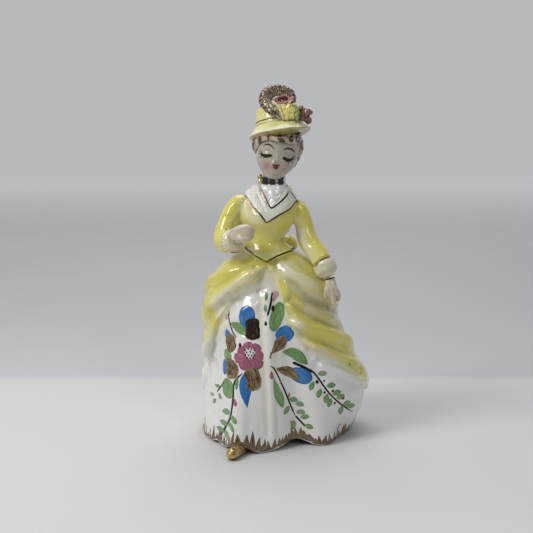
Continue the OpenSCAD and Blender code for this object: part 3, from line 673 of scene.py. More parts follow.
LEFT_FOLDS = [
    (0, [(-5.9, 98), (-5.9, 90.5), (-1.8, 79.3), (2.4, 68.7), (7.6, 57.4), (12.5, 48)], 1.8, -0.6),
    (0, [(-4, 97), (3.5, 91.3), (14, 84.2), (24, 80)], 2.6, 0.9),
    (0, [(-3, 92), (4, 86), (12, 79), (22, 74)], 1.8, -0.7),
    (0, [(-1, 84), (5, 78.5), (14, 72.5), (24, 68)], 2.4, 0.9),
    (0, [(1, 78), (8, 72), (16, 67), (27, 61)], 1.7, -0.8),
    (0, [(3.4, 67.2), (12.3, 63.4), (19.8, 60.5), (27.1, 56)], 1.9, 1.1),
    (0, [(8, 60), (18, 55), (28, 49), (36, 45)], 2.2, -0.8),
    (0, [(14, 53), (24.2, 49.7), (37.3, 41.3)], 2.4, 1.0),
    (0, [(17, 46), (27, 41), (38, 34)], 2.2, -0.7),
    (60, [(-14, 92), (0, 84), (18, 78)], 2.6, 0.9),
    (60, [(-14, 80), (0, 73), (18, 66)], 2.4, -0.9),
    (60, [(-16, 66), (0, 60), (18, 52)], 2.6, 1.0),
    (60, [(-10, 52), (4, 45), (18, 38)], 2.4, -0.9),
    (60, [(-4, 42), (8, 35), (20, 30)], 2.4, 0.9),
    (110, [(-18, 88), (0, 76), (18, 72)], 2.8, 0.9),
    (110, [(-18, 70), (0, 62), (18, 58)], 2.6, -0.9),
    (110, [(-18, 54), (0, 44), (18, 42)], 2.8, 1.0),
    (110, [(-16, 36), (0, 30), (18, 30)], 2.4, -0.7),
]
RIGHT_FOLDS = [
    (0, [(-16, 97.5), (-24.6, 94.1), (-33, 91), (-39.7, 87.5)], 2.2, 0.9),
    (0, [(-17, 94.5), (-26, 90.5), (-38, 83)], 1.7, -0.8),
    (0, [(-20, 91), (-29, 85), (-36, 78), (-42, 72)], 2.2, 0.9),
    (0, [(-24.5, 83.1), (-34.3, 66), (-40.1, 48.3), (-36.5, 34)], 2.0, -0.7),
    (0, [(-30, 80), (-38, 68), (-43, 58)], 2.0, -0.6),
    (0, [(-32, 70), (-39, 58), (-44, 46)], 2.2, 0.8),
    (300, [(-18, 70), (-4, 84), (14, 94)], 2.6, 0.9),
    (300, [(-18, 58), (-4, 70), (14, 84)], 2.4, -0.9),
    (300, [(-18, 46), (-4, 58), (12, 74)], 2.6, 0.9),
    (300, [(-18, 36), (-4, 46), (10, 62)], 2.4, -0.8),
    (250, [(-18, 72), (0, 78), (18, 86)], 2.8, 0.9),
    (250, [(-18, 56), (0, 60), (18, 72)], 2.6, -0.9),
    (250, [(-18, 42), (0, 46), (18, 56)], 2.8, 0.9),
    (250, [(-18, 32), (0, 34), (18, 42)], 2.4, -0.7),
]
BACK_FOLDS = [
    (180, [(-16, 96), (0, 90), (16, 96)], 2.2, -0.8),
    (180, [(-17, 80), (0, 72), (17, 80)], 2.2, -1.0),
    (180, [(-17, 66), (0, 58), (17, 66)], 2.2, 0.9),
    (180, [(-17, 52), (0, 45), (17, 52)], 2.2, -1.0),
    (180, [(-16, 38), (0, 33), (16, 38)], 2.0, 0.8),
    (180, [(-6, 90), (-5, 70), (-8, 40), (-9, 24)], 1.8, -0.7),
    (180, [(5, 90), (6, 70), (8, 40), (9, 24)], 1.8, -0.7),
    (180, [(0, 88), (0, 60), (0, 22)], 2.4, 0.6),
]


def laid(azimuth, stops, tree=None, spacing=1.0):
    view = Canvas(tree or cad_gown, azimuth, (0, 0, 0) if azimuth == 0 else AXIS)
    return view.trace(stops, spacing)


def fold_all(skin, folds, tree=None, gain=1.0):
    for azimuth, stops, width, height in folds:
        skin.fold(laid(azimuth, stops, tree, 0.7), width, gain * height)


def spray(skin, strokes, base, tree=None):
    """Airbrush passes, a few of them painted shade: (azimuth, stops across and up, radius, amount)."""
    amount = np.array(base, dtype=float)
    for azimuth, stops, radius, strength in strokes:
        amount += strength * skin.near(laid(azimuth, stops, tree), radius)
    skin.tint[:, 0] = np.clip(amount, 0, 1)


def shade(skin, strokes, tree=None):
    """Passes of painted shade in the tint's green, written as spray's are."""
    for azimuth, stops, radius, strength in strokes:
        skin.tint[:, 1] += strength * skin.near(laid(azimuth, stops, tree), radius)
    skin.tint[:, 1] = np.clip(skin.tint[:, 1], 0, 1)


SKIRT_SPRAY = [
    (0, [(-19, 93), (-27, 85), (-33, 70), (-37, 52)], 2.6, 0.22),
    (0, [(-5, 95), (-2, 80), (3, 64), (9, 52)], 2.4, 0.25),
    (0, [(-13, 98), (-8, 98)], 2.6, 0.45),
    # Yellow down the valleys on both sides of the pleat is painted shade along the pleat.
    (0, [(-14.2, 88), (-13.4, 58), (-11, 30), (-9.4, 12)], 1.4, 0.26),
    (0, [(-6, 80), (-5.4, 50), (-5.4, 12)], 1.3, 0.2),
]
LEFT_SPRAY = [
    (0, [(-7, 99), (1, 100), (7, 100), (12, 95)], 3.6, 0.55),
    (0, [(5, 97), (12, 91), (20, 84)], 4.6, 0.4),
    (0, [(-6, 97), (1, 92), (13, 87)], 1.7, -0.4),
    (0, [(-4, 87), (1, 81), (13, 74), (22, 70)], 3.2, 0.34),
    (0, [(3, 76), (8, 68), (15, 60), (24, 53), (33, 45), (40, 37), (45, 29)], 4.6, 0.75),
    (0, [(16, 67), (24, 60), (33, 52)], 5.0, 0.4),
    (0, [(-1, 84), (3, 78), (8, 71)], 3.0, 0.2),
    (0, [(4, 55), (13, 45), (27, 35), (42, 23)], 3.4, -0.5),
    (60, [(-10, 90), (10, 82)], 9, 0.4),
    (60, [(-6, 60), (16, 48)], 8, 0.7),
    (60, [(-12, 76), (14, 68)], 4, -0.2),
    (110, [(-18, 80), (18, 78)], 12, 0.6),
    (110, [(-14, 56), (16, 52)], 8, 0.5),
    (110, [(-18, 34), (16, 32)], 6, -0.2),
]
RIGHT_SPRAY = [
    (0, [(-35, 92), (-26, 95.4), (-18, 97)], 3.0, 0.5),
    (0, [(-41, 86), (-36, 87), (-30, 90)], 4.0, 0.6),
    (0, [(-44, 76), (-42, 71), (-40, 66)], 3.6, 0.5),
    (0, [(-19, 93), (-30, 83), (-36.4, 69)], 2.2, -0.3),
    (0, [(-36, 60), (-42, 46), (-45, 34)], 6.0, -0.35),
    (300, [(-14, 78), (0, 90), (12, 95)], 9, 0.55),
    (300, [(-16, 54), (-4, 64)], 7, 0.6),
    (250, [(-18, 84), (0, 86), (18, 92)], 11, 0.6),
    (250, [(-18, 58), (0, 62), (18, 74)], 8, 0.5),
    (250, [(-18, 36), (18, 44)], 6, -0.2),
]
# Painted shade on the left drape's folds around and below the left hand.
DRAPE_SHADE = [
    (0, [(6, 96), (12, 90), (17, 84)], 2.6, 0.5),
    (0, [(10, 77), (17, 74), (24, 70), (30, 65)], 5.0, 0.55),
    (0, [(20, 63), (26, 60), (32, 55)], 1.8, 0.3),
]
BACK_SPRAY = [
    (180, [(-10, 104), (0, 99), (10, 104)], 7, 0.7),
    (0, [(-1, 105), (3, 103)], 5, 0.5),
    (180, [(-14, 88), (0, 84), (14, 88)], 13, 0.6),
    (180, [(-14, 58), (0, 56), (14, 58)], 9, 0.5),
    (180, [(-10, 28), (10, 28)], 6, -0.15),
]


BODICE_SPRAY = [
    (0, [(-25, 131), (-21.4, 123), (-17, 118.4)], 2.6, -0.32),
    (0, [(-20, 116), (-14, 112), (-6, 114)], 4.5, 0.2),
    # Deeper yellow down the bodice beside the left sleeve: partly airbrush, partly painted shade on that
    # side.
    (0, [(3, 126), (0, 117), (-2.4, 107)], 5, 0.4),
    (0, [(-10.5, 114), (-11.5, 108)], 4, 0.15),
    (0, [(-20, 103), (-11.6, 100.6), (-3.8, 103)], 1.8, -0.35),
    (180, [(-8, 126), (8, 126)], 10, 0.2),
    (180, [(0, 120), (0, 106)], 8, 0.2),
]
BODICE_FOLDS = [
    (0, [(-22, 112), (-20, 107), (-18, 103)], 1.6, -0.35),
    (0, [(0, 113), (-3, 107), (-3, 103)], 1.6, -0.35),
    (0, [(-24, 104), (-16, 102), (-10.4, 98.6), (-2, 101), (5, 103.6)], 1.0, 0.3),
    (180, [(0, 132), (0, 106)], 0.7, -0.3),
    (180, [(-7, 128), (-5, 114), (-4, 106)], 0.8, -0.25),
    (180, [(7, 128), (5, 114), (4, 106)], 0.8, -0.25),
]
LEFT_SLEEVE_FOLDS = [
    (0, [(5, 111), (9, 108.6), (13.5, 108.4)], 1.0, -0.4),
    (0, [(6, 108), (10.5, 106), (15, 106.2)], 1.0, -0.35),
    (0, [(11, 100), (15, 98.4), (19, 99.4)], 0.9, -0.3),
    (0, [(3, 121), (6, 117), (7, 112)], 1.2, -0.35),
    (0, [(2, 127.6), (6, 126), (9, 122)], 1.4, 0.3),
]
RIGHT_SLEEVE_FOLDS = [
    (0, [(-27, 113), (-30, 110.5), (-34, 110)], 1.1, -0.45),
    (0, [(-26.5, 110), (-29.5, 107.6), (-33, 106)], 1.1, -0.4),
    (0, [(-28, 106), (-30, 104.6), (-33, 103.6)], 1.0, -0.3),
    (0, [(-24, 122), (-27.5, 117), (-28, 113)], 1.2, -0.35),
    (0, [(-24, 129), (-28, 127), (-31, 122)], 1.4, 0.3),
]
SLEEVE_FOLDS = {"left_sleeve": LEFT_SLEEVE_FOLDS, "right_sleeve": RIGHT_SLEEVE_FOLDS}
SLEEVE_SPRAY = {
    "left_sleeve": [
        (0, [(9.5, 125), (11, 117), (15, 108), (20, 102)], 3.0, 0.3),
        (0, [(7, 113), (9.5, 104), (13, 96.5)], 2.0, -0.5),
    ],
    "right_sleeve": [
        (0, [(-28, 129), (-33, 118.5), (-37, 108.5)], 3.4, 0.35),
        (0, [(-36, 103), (-31, 104)], 2.0, -0.25),
    ],
}
cad_bodice = joined_tree([world_mesh("bodice")])
GOWN_BASE = {"skirt": 0.0, "left_drape": 0.2, "right_drape": 0.2, "back_bustle": 0.4,
             "bodice": 0.74, "left_sleeve": 0.74, "right_sleeve": 0.8}
GOWN_PIECES = {
    "skirt": ("skirt_bell", "white_glaze"),
    "left_drape": ("left_drape_folds", "yellow_glaze"),
    "right_drape": ("right_drape_folds", "yellow_glaze"),
    "back_bustle": ("back_bustle_folds", "yellow_glaze"),
    "bodice": ("bodice_front_and_back", "yellow_glaze"),
    "left_sleeve": ("left_sleeve_cloth", "yellow_glaze"),
    "right_sleeve": ("right_sleeve_cloth", "yellow_glaze"),
}
# Little round drips of glaze at the shoulders and over the waist
DRIPS = [(-27, 126.9), (8.5, 125.8), (-13.9, 104.3), (-4.1, 104.2)]
GOWN_CELL = 0.62
gown_cad = joined_tree([world_mesh(node) for node in GOWN_PIECES])
gown = Skin(list(GOWN_PIECES), GOWN_CELL, 16)
gown.melt(3)
gown.fill_hollows(14, 0.12)
fold_all(gown, SKIRT_FOLDS)
fold_all(gown, LEFT_FOLDS + RIGHT_FOLDS + BACK_FOLDS, gain=1.3)
fold_all(gown, BODICE_FOLDS, cad_bodice)
for node, folds in SLEEVE_FOLDS.items():
    fold_all(gown, folds, joined_tree([world_mesh(node)]))
gown.push(0.14 * ripple(gown.points, 14, 3) + 0.04 * ripple(gown.points, 5, 4))
for x, z in DRIPS:
    gown.fold(laid(0, [(x, z - 0.2), (x, z + 0.2)], gown_cad), 0.9, 0.55)
gown.fold(laid(0, [(4.5, 118.5), (1.5, 116), (0.5, 113)], gown_cad), 2.2, 1.0)
gown.relax(3)
# Painted shade in the hollows of the folds, faint on the white skirt and stronger on the yellow pieces; it
# stands partly for the olive the airbrush leaves in the valleys.
hollow = smoothstep(gown.hollows(16), 0.05, 0.6)
gown.tint[:, 1] = hollow * np.where(gown.owner == 0, 0.16, 0.55)
amount = np.array(list(GOWN_BASE.values()))[gown.owner]
for _ in range(30):
    amount = gown.spread(amount)
spray(gown, SKIRT_SPRAY + LEFT_SPRAY + RIGHT_SPRAY + BACK_SPRAY, amount)
spray(gown, BODICE_SPRAY, gown.tint[:, 0], cad_bodice)
shade(gown, DRAPE_SHADE)
for node, strokes in SLEEVE_SPRAY.items():
    spray(gown, strokes, gown.tint[:, 0], joined_tree([world_mesh(node)]))
gown_tree = gown.tree()
gown.make_parts(GOWN_PIECES, MATERIALS["yellow"])

# ---------------------------------------------------------------- places taken from part.scad

CENTRING = np.array([-10.8, -5.4, 0.0])


def at_row(points):
    """Figure-space points of part.scad in the row frame."""
    return np.asarray(points, dtype=float) + CENTRING


class Local:
    """A turned local frame of part.scad, such as the head's or the hat's."""

    def __init__(self, place, turn):
        self.place = at_row(place)
        self.turn = Euler([math.radians(t) for t in turn]).to_matrix()
        self.grid = np.array(self.turn)

    def inside(self, points):
        return (np.asarray(points) - self.place) @ self.grid

    def outside(self, points):
        return np.asarray(points) @ self.grid.T + self.place

    def canvas(self, tree, reach=60.0):
        return Canvas(tree, 0, self.place, self.turn, reach)


HEAD = Local((5.6, -0.6, 153.6), (11, 8, -6))
HAT = Local((6.8, -0.3, 167.2), (-11.5, -4, 0))
NECK = at_row((3.9, 0.6, 0))


class Ribbon:
    """A band along a path in space, laid on the nearest surface. lay() matches Canvas.lay()."""

    def __init__(self, tree, path, spacing=0.4):
        self.tree = tree
        self.path = smooth_path(path, spacing)
        self.run = np.concatenate(
            [[0], np.cumsum(np.linalg.norm(np.diff(self.path, axis=0), axis=1))])
        self.length = self.run[-1]
        self.ahead = np.gradient(self.path, axis=0)

    def lay(self, u, v, near=None):
        spot = Vector([np.interp(u, self.run, self.path[:, k]) for k in range(3)])
        ahead = Vector([np.interp(u, self.run, self.ahead[:, k]) for k in range(3)]).normalized()
        _, normal, _, _ = self.tree.find_nearest(spot)
        spot, normal, _, _ = self.tree.find_nearest(spot + ahead.cross(normal) * v)
        return spot, normal

    def ends(self, start=0.0, stop=1.0):
        return [(self.length * start, 0), (self.length * stop, 0)]


def ring(tree, centre, heights, first=-180, last=180, step=6):
    """A path round a surface, at a height for each angle: [(angle, height), ...]."""
    angles, levels = zip(*heights)
    path = []
    for a in np.arange(first, last + 0.1, step):
        view = Canvas(tree, a, (centre[0], centre[1], 0))
        path.append(view.lay(0, np.interp(a, angles, levels))[0][:])
    return path


# ---------------------------------------------------------------- torso and arms


def plain_skin(node, cell, rounds, base=0.4, melt=2, swell=0.06, hollow_shade=0.8, fine=0.03):
    skin = Skin(node, cell, rounds)
    skin.melt(melt)
    skin.push(swell * ripple(skin.points, 9, len(node)) + fine * ripple(skin.points, 2.5, 40 + len(node)))
    skin.tint[:, 0] = base
    return skin


# Cuffs: foot and axis of each, as part.scad places them
CUFFS = {
    "left_cuff": ((29.5, -7.75, 96.5), (3.7, -2.9, -8), 8.6),
    "right_cuff": ((-19.1, -12.1, 107.25), (3, -4.8, 2.2), 6.0),
}
for node, (foot, axis, length) in CUFFS.items():
    cuff = plain_skin(node, 0.3, 8, 0.25, melt=3)
    line = np.array(axis) / np.linalg.norm(axis)
    flat = np.cross(line, (0, 0, 1.0))
    flat /= np.linalg.norm(flat)
    offset = cuff.points - at_row(foot)
    along = offset @ line / length
    angle = np.arctan2(offset @ np.cross(line, flat), offset @ flat)
    wall = smoothstep(along, 0.08, 0.25) * (1 - smoothstep(along, 0.75, 0.95))
    ribs = np.cos(26 * angle) * 0.16 + 0.05 * np.cos(along * 2 * math.pi * 6)
    cuff.push(wall * ribs)
    # Painted shade in the grooves between the ribs.
    cuff.tint[:, 1] = np.clip(wall * (0.12 - 0.22 * np.cos(26 * angle)), 0, 0.5)
    cuff.tint[:, 0] = 0.3 + 0.3 * smoothstep(along, 0.5, 1.0)
    CUFFS[node] = cuff
    cuff.make(node + "_ribbed", MATERIALS["cream"], "cream_glaze")

HAND_CREASES = {
    "left_hand": [
        (0, [(22.4, 82), (22.6, 79), (23.2, 76)], 0.45, -0.4),
        (0, [(24.6, 83), (25.2, 80), (25.4, 76.5)], 0.45, -0.4),
        (0, [(20.6, 86), (20.4, 83), (20.2, 80)], 0.5, -0.35),
        (0, [(20, 87.4), (23, 87.8), (26, 88.6)], 0.5, -0.3),
        (0, [(23.3, 77), (24.6, 76.8)], 0.35, 0.2),
    ],
    "right_hand": [
        (0, [(-31, 113.8), (-26.7, 115.2), (-21.1, 116.6), (-17.3, 115.6)], 0.7, 0.35),
        (0, [(-29, 112.8), (-24, 113.8), (-18, 113.8)], 0.9, -0.2),
        (0, [(-25, 110.6), (-21, 110.6), (-18, 110.8)], 0.5, -0.1),
    ],
}
HANDS = {}
for node, creases in HAND_CREASES.items():
    hand = plain_skin(node, 0.22, 10, 0.3, melt=20 if node == "right_hand" else 2, swell=0.03)
    fold_all(hand, creases, joined_tree([world_mesh(node)]))
    # Painted shade in the hand's hollows and creases.
    hand.tint[:, 1] = np.clip(0.8 * smoothstep(hand.hollows(8), 0.02, 0.2), 0, 0.7)
    hand.tint[:, 2] = 0.25 * smoothstep(ripple(hand.points, 7, 5), 0.2, 1.0)
    hand.make(node + "_fingers", MATERIALS["hand"], "skin_glaze")
    HANDS[node] = hand

# ---------------------------------------------------------------- collar and neck

collar = plain_skin("collar", 0.35, 8, 0.12)
corner = (smoothstep(-collar.points[:, 0], 13, 21) * smoothstep(collar.points[:, 2], 121, 129)
          * smoothstep(-collar.points[:, 1], -3, 4))
collar.points = collar.points + corner[:, None] * np.array([-1.5, -0.3, 1.2])
# Painted shade in the collar's hollows.
collar.tint[:, 1] = 0.3 * smoothstep(collar.hollows(8), 0.0, 0.15)
cad_collar = joined_tree([world_mesh("collar")])
fold_all(collar, [
    (0, [(-19, 133), (-15, 124), (-11, 118.6)], 0.7, 0.18),
    (0, [(-16, 133.4), (-12.6, 126), (-10, 121)], 0.7, -0.18),
    (0, [(2.4, 129), (-3, 124.4), (-9.4, 119.4)], 0.7, 0.18),
], cad_collar)
spray(collar, [
    (0, [(-13, 121), (-10.6, 119)], 3.5, 0.35),
    (0, [(-6, 123), (1, 127.6)], 2.5, 0.25),
], collar.tint[:, 0], cad_collar)
collar.make("collar_lapels", MATERIALS["linen"], "white_glaze")

chemisette = plain_skin("chemisette", 0.25, 5, 0.0)
offset = chemisette.points - NECK
turn_round = np.arctan2(offset[:, 0], -offset[:, 1])
frill = smoothstep(chemisette.points[:, 2], 124, 130) * (1 - smoothstep(chemisette.points[:, 2], 132, 136))
chemisette.push(0.3 * np.cos(15 * turn_round + 0.25 * chemisette.points[:, 2]) * frill
                + (0.08 + 0.22 * frill) * ripple(chemisette.points, 2.8, 8))
# Painted shade in the hollows of the ruffle.
chemisette.tint[:, 1] = 0.5 * smoothstep(chemisette.hollows(6), 0.0, 0.16)
chemisette.make("chemisette_ruffle", MATERIALS["white"], "white_glaze")

band = plain_skin("choker_band", 0.2, 5, 0.05, fine=0.02)
band.push(0.12 * np.cos(band.points[:, 2] * 2 * math.pi / 0.9))
band.make("choker_band_glazed", MATERIALS["white"], "white_glaze")
beads = plain_skin("choker_beads", 0.13, 8, 1.0, swell=0.0)
beads.points = beads.points + 0.35 * unit_rows((beads.points - NECK) * (1, 1, 0))
bead_middle = beads.points[:, 2].mean()
beads.points[:, 2] = bead_middle - 0.4 + 1.16 * (beads.points[:, 2] - bead_middle)
beads.make("choker_bead_tiles", MATERIALS["bead"], "black_enamel")
bow = plain_skin("neck_bow", 0.14, 5, 0.4, swell=0.05)
bow.push(0.12 * ripple(bow.points, 1.1, 12))
# Painted shade: the lustre darkens in the knot's hollows.
bow.tint[:, 1] = smoothstep(bow.hollows(5), 0.0, 0.08)
bow.make("neck_bow_knot", MATERIALS["bow"], "gold_lustre")

# ---------------------------------------------------------------- head

# Rises and hollows of the face, seen from its front: (x, z, half width, half height, rise)
FACE = [
    (1.5, 1.2, 0.8, 2.6, 0.3), (1.6, -1.5, 0.9, 0.9, 0.35),
    (0.4, -1.9, 0.5, 0.45, 0.25), (2.8, -2.0, 0.5, 0.45, 0.25),
    (-4.2, 0.5, 2.3, 1.2, 0.42), (6.5, -0.1, 2.2, 1.2, 0.42),
    (-4.0, 2.9, 2.8, 1.0, -0.3), (6.4, 2.5, 2.6, 1.0, -0.3),
    (-4.4, -4.8, 2.8, 2.4, 0.45), (7.0, -5.0, 2.5, 2.3, 0.4),
    (1.3, -3.4, 0.7, 0.8, -0.15), (1.3, -4.7, 1.9, 0.55, 0.3),
    (1.3, -5.3, 2.0, 0.28, -0.3), (1.3, -6.0, 1.4, 0.6, 0.35),
    (1.3, -7.3, 1.8, 0.6, -0.25), (1.2, -9.4, 2.2, 1.6, 0.45),
]


def dab(local, x, z, wide, high):
    """1 at a place of the face seen from its front, falling off round it."""
    return np.exp(-((local[:, 0] - x) / wide) ** 2 - ((local[:, 2] - z) / high) ** 2)


head = Skin("head", 0.26, 14)
head.melt(2)
local = HEAD.inside(head.points)
facing = smoothstep(-local[:, 1], 2, 6)
head.push(facing * sum(rise * dab(local, x, z, w, h) for x, z, w, h, rise in FACE))
head.melt(1)
local = HEAD.inside(head.points)
lift = 1.3 * smoothstep(-local[:, 2], 4, 11) * smoothstep(-local[:, 1], -1, 5)
head.points = HEAD.outside(local + lift[:, None] * np.array([0, 0, 1.0]))
local = HEAD.inside(head.points)
# The tint's red warms the chin and neck; its green is painted shade in the face's hollows.
head.tint[:, 0] = 0.15 + 0.3 * smoothstep(-local[:, 2], 9, 14)
head.tint[:, 1] = 0.45 * smoothstep(head.hollows(8), 0.03, 0.22)
head.tint[:, 2] = facing * (0.8 * dab(local, -3.6, -5.4, 2.8, 2.5) + 0.5 * dab(local, 6.0, -5.6, 2.6, 2.3)
                            + 0.22 * dab(local, 1.2, -9.0, 3.2, 1.8) + 0.1 * dab(local, -4, 3.0, 2.8, 1.2)
                            + 0.1 * dab(local, 6.5, 2.6, 2.8, 1.2))
head.make("head_and_neck", MATERIALS["skin"], "skin_glaze")

hair = Skin("hair", 0.26, 8)
hair.melt(2)
local = HEAD.inside(hair.points)
FRINGE_RISE, CHEEK_SWEEP = 2.0, 3.6
raised = (FRINGE_RISE * smoothstep(-local[:, 1], 3, 8) * smoothstep(-local[:, 2], -11.5, -8.5)
          * smoothstep(local[:, 2], 1, 5))
swept = (CHEEK_SWEEP * smoothstep(local[:, 0], 6, 10) * smoothstep(-local[:, 1], -3, 2)
         * smoothstep(-local[:, 2], -8, -4))
moved = local + raised[:, None] * np.array([0, 0, 1.0]) + swept[:, None] * np.array([0, 1.0, 0])
hair.points = HEAD.outside(moved)
local = HEAD.inside(hair.points)
swirl = np.arctan2(local[:, 0], -local[:, 1])
lock_wave = np.sin(13 * swirl + 0.5 * local[:, 2] + 0.9 * ripple(local, 7, 21))
curl_wave = ripple(local, 4.2, 22)
fringe = smoothstep(-local[:, 1], 1, 6) * smoothstep(local[:, 2], 4, 7)
hair.push(0.20 * lock_wave * (1 - fringe) + 0.34 * curl_wave * fringe)
hair.tint[:, 0] = np.clip(0.42 - 0.2 * lock_wave * (1 - fringe) - 0.3 * fringe * (0.5 + curl_wave)
                          + 0.2 * smoothstep(local[:, 0], 4, 10), 0, 1)
# Painted shade in the hollows between the locks.
hair.tint[:, 1] = 0.6 * smoothstep(hair.hollows(8), 0.03, 0.25)
hair.make("hair_locks", MATERIALS["hair"], "hair_glaze")

# ---------------------------------------------------------------- hat

brim = Skin("hat_brim", 0.3, 10)
brim.melt(2)
local = HAT.inside(brim.points)
radius = np.hypot(local[:, 0], local[:, 1])
brim.push(0.08 * ripple(brim.points, 8, 31))
# The rim pales toward its outer edge. Painted shade under the brim: where the surface faces down it takes
# deeper yellow and the shade colour.
under = smoothstep(-(brim.normals() @ HAT.grid)[:, 2], -0.45, 0.2)
edge = smoothstep(radius, 14.0, 16.0)
brim.tint[:, 0] = np.clip(0.5 - 0.5 * edge + 0.35 * under, 0, 1)
brim.tint[:, 1] = 0.85 * under
brim.make("hat_brim_rolled", MATERIALS["hat"], "yellow_glaze")


crown = Skin("hat_crown", 0.35, 8)
crown.melt(3)
local = HAT.inside(crown.points)
crown.push(0.1 * ripple(crown.points, 7, 33) - 0.35 * np.exp(-((local[:, 2] - 1.6) / 0.7) ** 2))
crown.tint[:, 0] = np.clip(
    0.42 + 0.35 * ripple(crown.points, 14, 34) + 0.3 * smoothstep(local[:, 0], 0, 10), 0, 1)
# Painted shade in a band round the crown's foot, just above the brim.
crown.tint[:, 1] = 0.35 * np.exp(-((local[:, 2] - 0.6) / 0.8) ** 2)
crown.make("hat_crown_felted", MATERIALS["hat"], "yellow_glaze")

PLUME = at_row([
    (5.4, -13.6, 172.6), (1.6, -12.4, 176.2), (-0.6, -10, 180), (0.8, -8.2, 183.4), (4.4, -7, 185.2),
    (8.4, -6.2, 185.2), (11.6, -6, 183.4), (13, -6.4, 180.8), (13.8, -7, 178.9)])
plume_spine = smooth_path(PLUME, 0.25)


def along_plume(points):
    """How far along the plume each point lies, in millimetres, and its side: 1 outer, -1 inner."""
    best = np.full(len(points), 1e9)
    where = np.zeros(len(points))
    for i, spot in enumerate(plume_spine):
        gap = ((points - spot) ** 2).sum(1)
        nearer = gap < best
        best[nearer] = gap[nearer]
        where[nearer] = i
    middle = plume_spine[where.astype(int)]
    hub = at_row((6.0, -8, 179.5))
    outward = middle - hub
    outward[:, 1] = 0
    side = (unit_rows(points - middle) * unit_rows(outward)).sum(1)
    return where * 0.25, side


plume = Skin("plume", 0.2, 8)
plume.melt(1)
reach, side = along_plume(plume.points)
middle = plume_spine[(reach / 0.25).astype(int)]
flat = plume.points - middle
flat[:, 0] *= 1.22
flat[:, 2] *= 1.22
plume.points = middle + flat
barbs = np.sin(2 * math.pi * (reach / 1.3 + 0.5 * side))
plume.push(0.10 * barbs * smoothstep(side, -0.75, 0.1) - 0.5 * np.exp(-((side + 0.9) / 0.18) ** 2))
plume.tint[:, 0] = np.clip(0.4 + 0.12 * barbs + 0.3 * smoothstep(-side, 0.2, 0.9), 0, 1)
# Painted shade in the hollows between the barbs.
plume.tint[:, 1] = np.clip(smoothstep(plume.hollows(5), 0.005, 0.08), 0, 1)
plume.make("plume_barbs", MATERIALS["plume"], "bronze_lustre")

stems = plain_skin("plume_stems", 0.13, 4, 0.5, swell=0.04)
stems.make("plume_quills", MATERIALS["pale_quill"], "gold_lustre")
loop = plain_skin("hat_ribbon_loop", 0.2, 5, 0.3, swell=0.08)
loop.push(0.15 * ripple(loop.points, 2.4, 51))
# Painted shade deep in the ribbon loop's hollows.
loop.tint[:, 1] = 0.9 * smoothstep(loop.hollows(8), 0.02, 0.2)
loop.make("ribbon_loop_curl", MATERIALS["mauve"], "mauve_enamel")


def petalled(node, cell, hubs, petals, depth, material, name, slot, base, hollow_shade=0.4, soft=1):
    """Small modelled flower: petals turn round each of its hubs. It is melted soft times first."""
    skin = Skin(node, cell, 5)
    skin.melt(soft)
    hubs = at_row(hubs)
    gaps = np.stack([np.linalg.norm(skin.points - hub, axis=1) for hub in hubs])
    own = gaps.argmin(0)
    offset = skin.points - hubs[own]
    turn = np.arctan2(offset[:, 2], offset[:, 0])
    far = np.hypot(offset[:, 0], offset[:, 2])
    petal = np.abs(np.sin(0.5 * petals * turn + 0.7 * far + own))
    skin.melt(6)
    skin.push(depth * (petal - 0.5))
    skin.melt(3)
    skin.tint[:, 0] = np.clip(base + 0.9 * (0.5 - petal) + 0.3 * ripple(skin.points, 3.0, 62), 0, 1)
    # Painted shade in the hollows between the petals.
    skin.tint[:, 1] = hollow_shade * smoothstep(skin.hollows(10), 0.02, 0.24)
    skin.make(name, MATERIALS[material], slot)
    return skin


ROSE_HUBS = [(20 + x, -8.4, 173 + z) for x, z in ((-1.3, 2.4), (0.9, -1.6))]
BLOSSOM_HUBS = [(10.6 + x, -14, 174.2 + z) for x, z in ((0, 0), (2.6, 1.1), (2.3, -1.9), (-0.3, -2.7))]
rose = petalled("hat_rose", 0.17, ROSE_HUBS, 3, 0.7, "rose", "rose_petals", "rose_enamel", 0.6, 0.85, soft=16)
blossom = petalled("hat_blossom", 0.17, BLOSSOM_HUBS, 4, 0.22, "ochre", "blossom_petals", "ochre_glaze", 0.3)
leaves = petalled("hat_leaves", 0.17, [(12.4, -12, 177.4), (14.8, -12, 175.6), (15.2, -12, 172.6)], 3, 0.25,
                  "leaf", "hat_leaf_sprig", "green_enamel", 0.35)

shoe = plain_skin("shoe", 0.3, 8, 0.5, swell=0.08)
shoe.push(-0.3 * np.exp(-((shoe.points[:, 2] - 1.1) / 0.35) ** 2))
# Painted shade along the groove above the sole.
shoe.tint[:, 1] = 0.6 * np.exp(-((shoe.points[:, 2] - 1.0) / 0.5) ** 2)
shoe.make("shoe_toe", MATERIALS["shoe"], "gold_lustre")

# ---------------------------------------------------------------- painted skirt

front = Canvas(gown_tree, step=12.0)


def strokes_on(name, canvas, strokes, material, slot, lift=0.13, wobble=0.0):
    """One piece of painted strokes: (stops, width, shape)."""
    paint = Paint(lift)
    for stops, width, shape in strokes:
        paint.stroke(canvas, stops, width, shape, wobble=wobble)
    return paint.make(name, MATERIALS[material], slot)


def leaflets(stem, places, long, wide):
    """Short leaf dabs that grow out from a painted stem."""
    spine = smooth_path(stem, 0.5)
    out = []
    for place in np.array(places, dtype=float):
        nearest = np.linalg.norm(spine - place, axis=1).argmin()
        ahead = np.gradient(spine, axis=0)[nearest]
        grow = unit_rows((unit_rows((place - spine[nearest])[None]) + 0.7 * unit_rows(ahead[None])))[0]
        out.append(([tuple(place - 0.5 * long * grow), tuple(place + 0.04 * long * grow[::-1]),
                     tuple(place + 0.5 * long * grow)], wide, "leaf"))
    return out


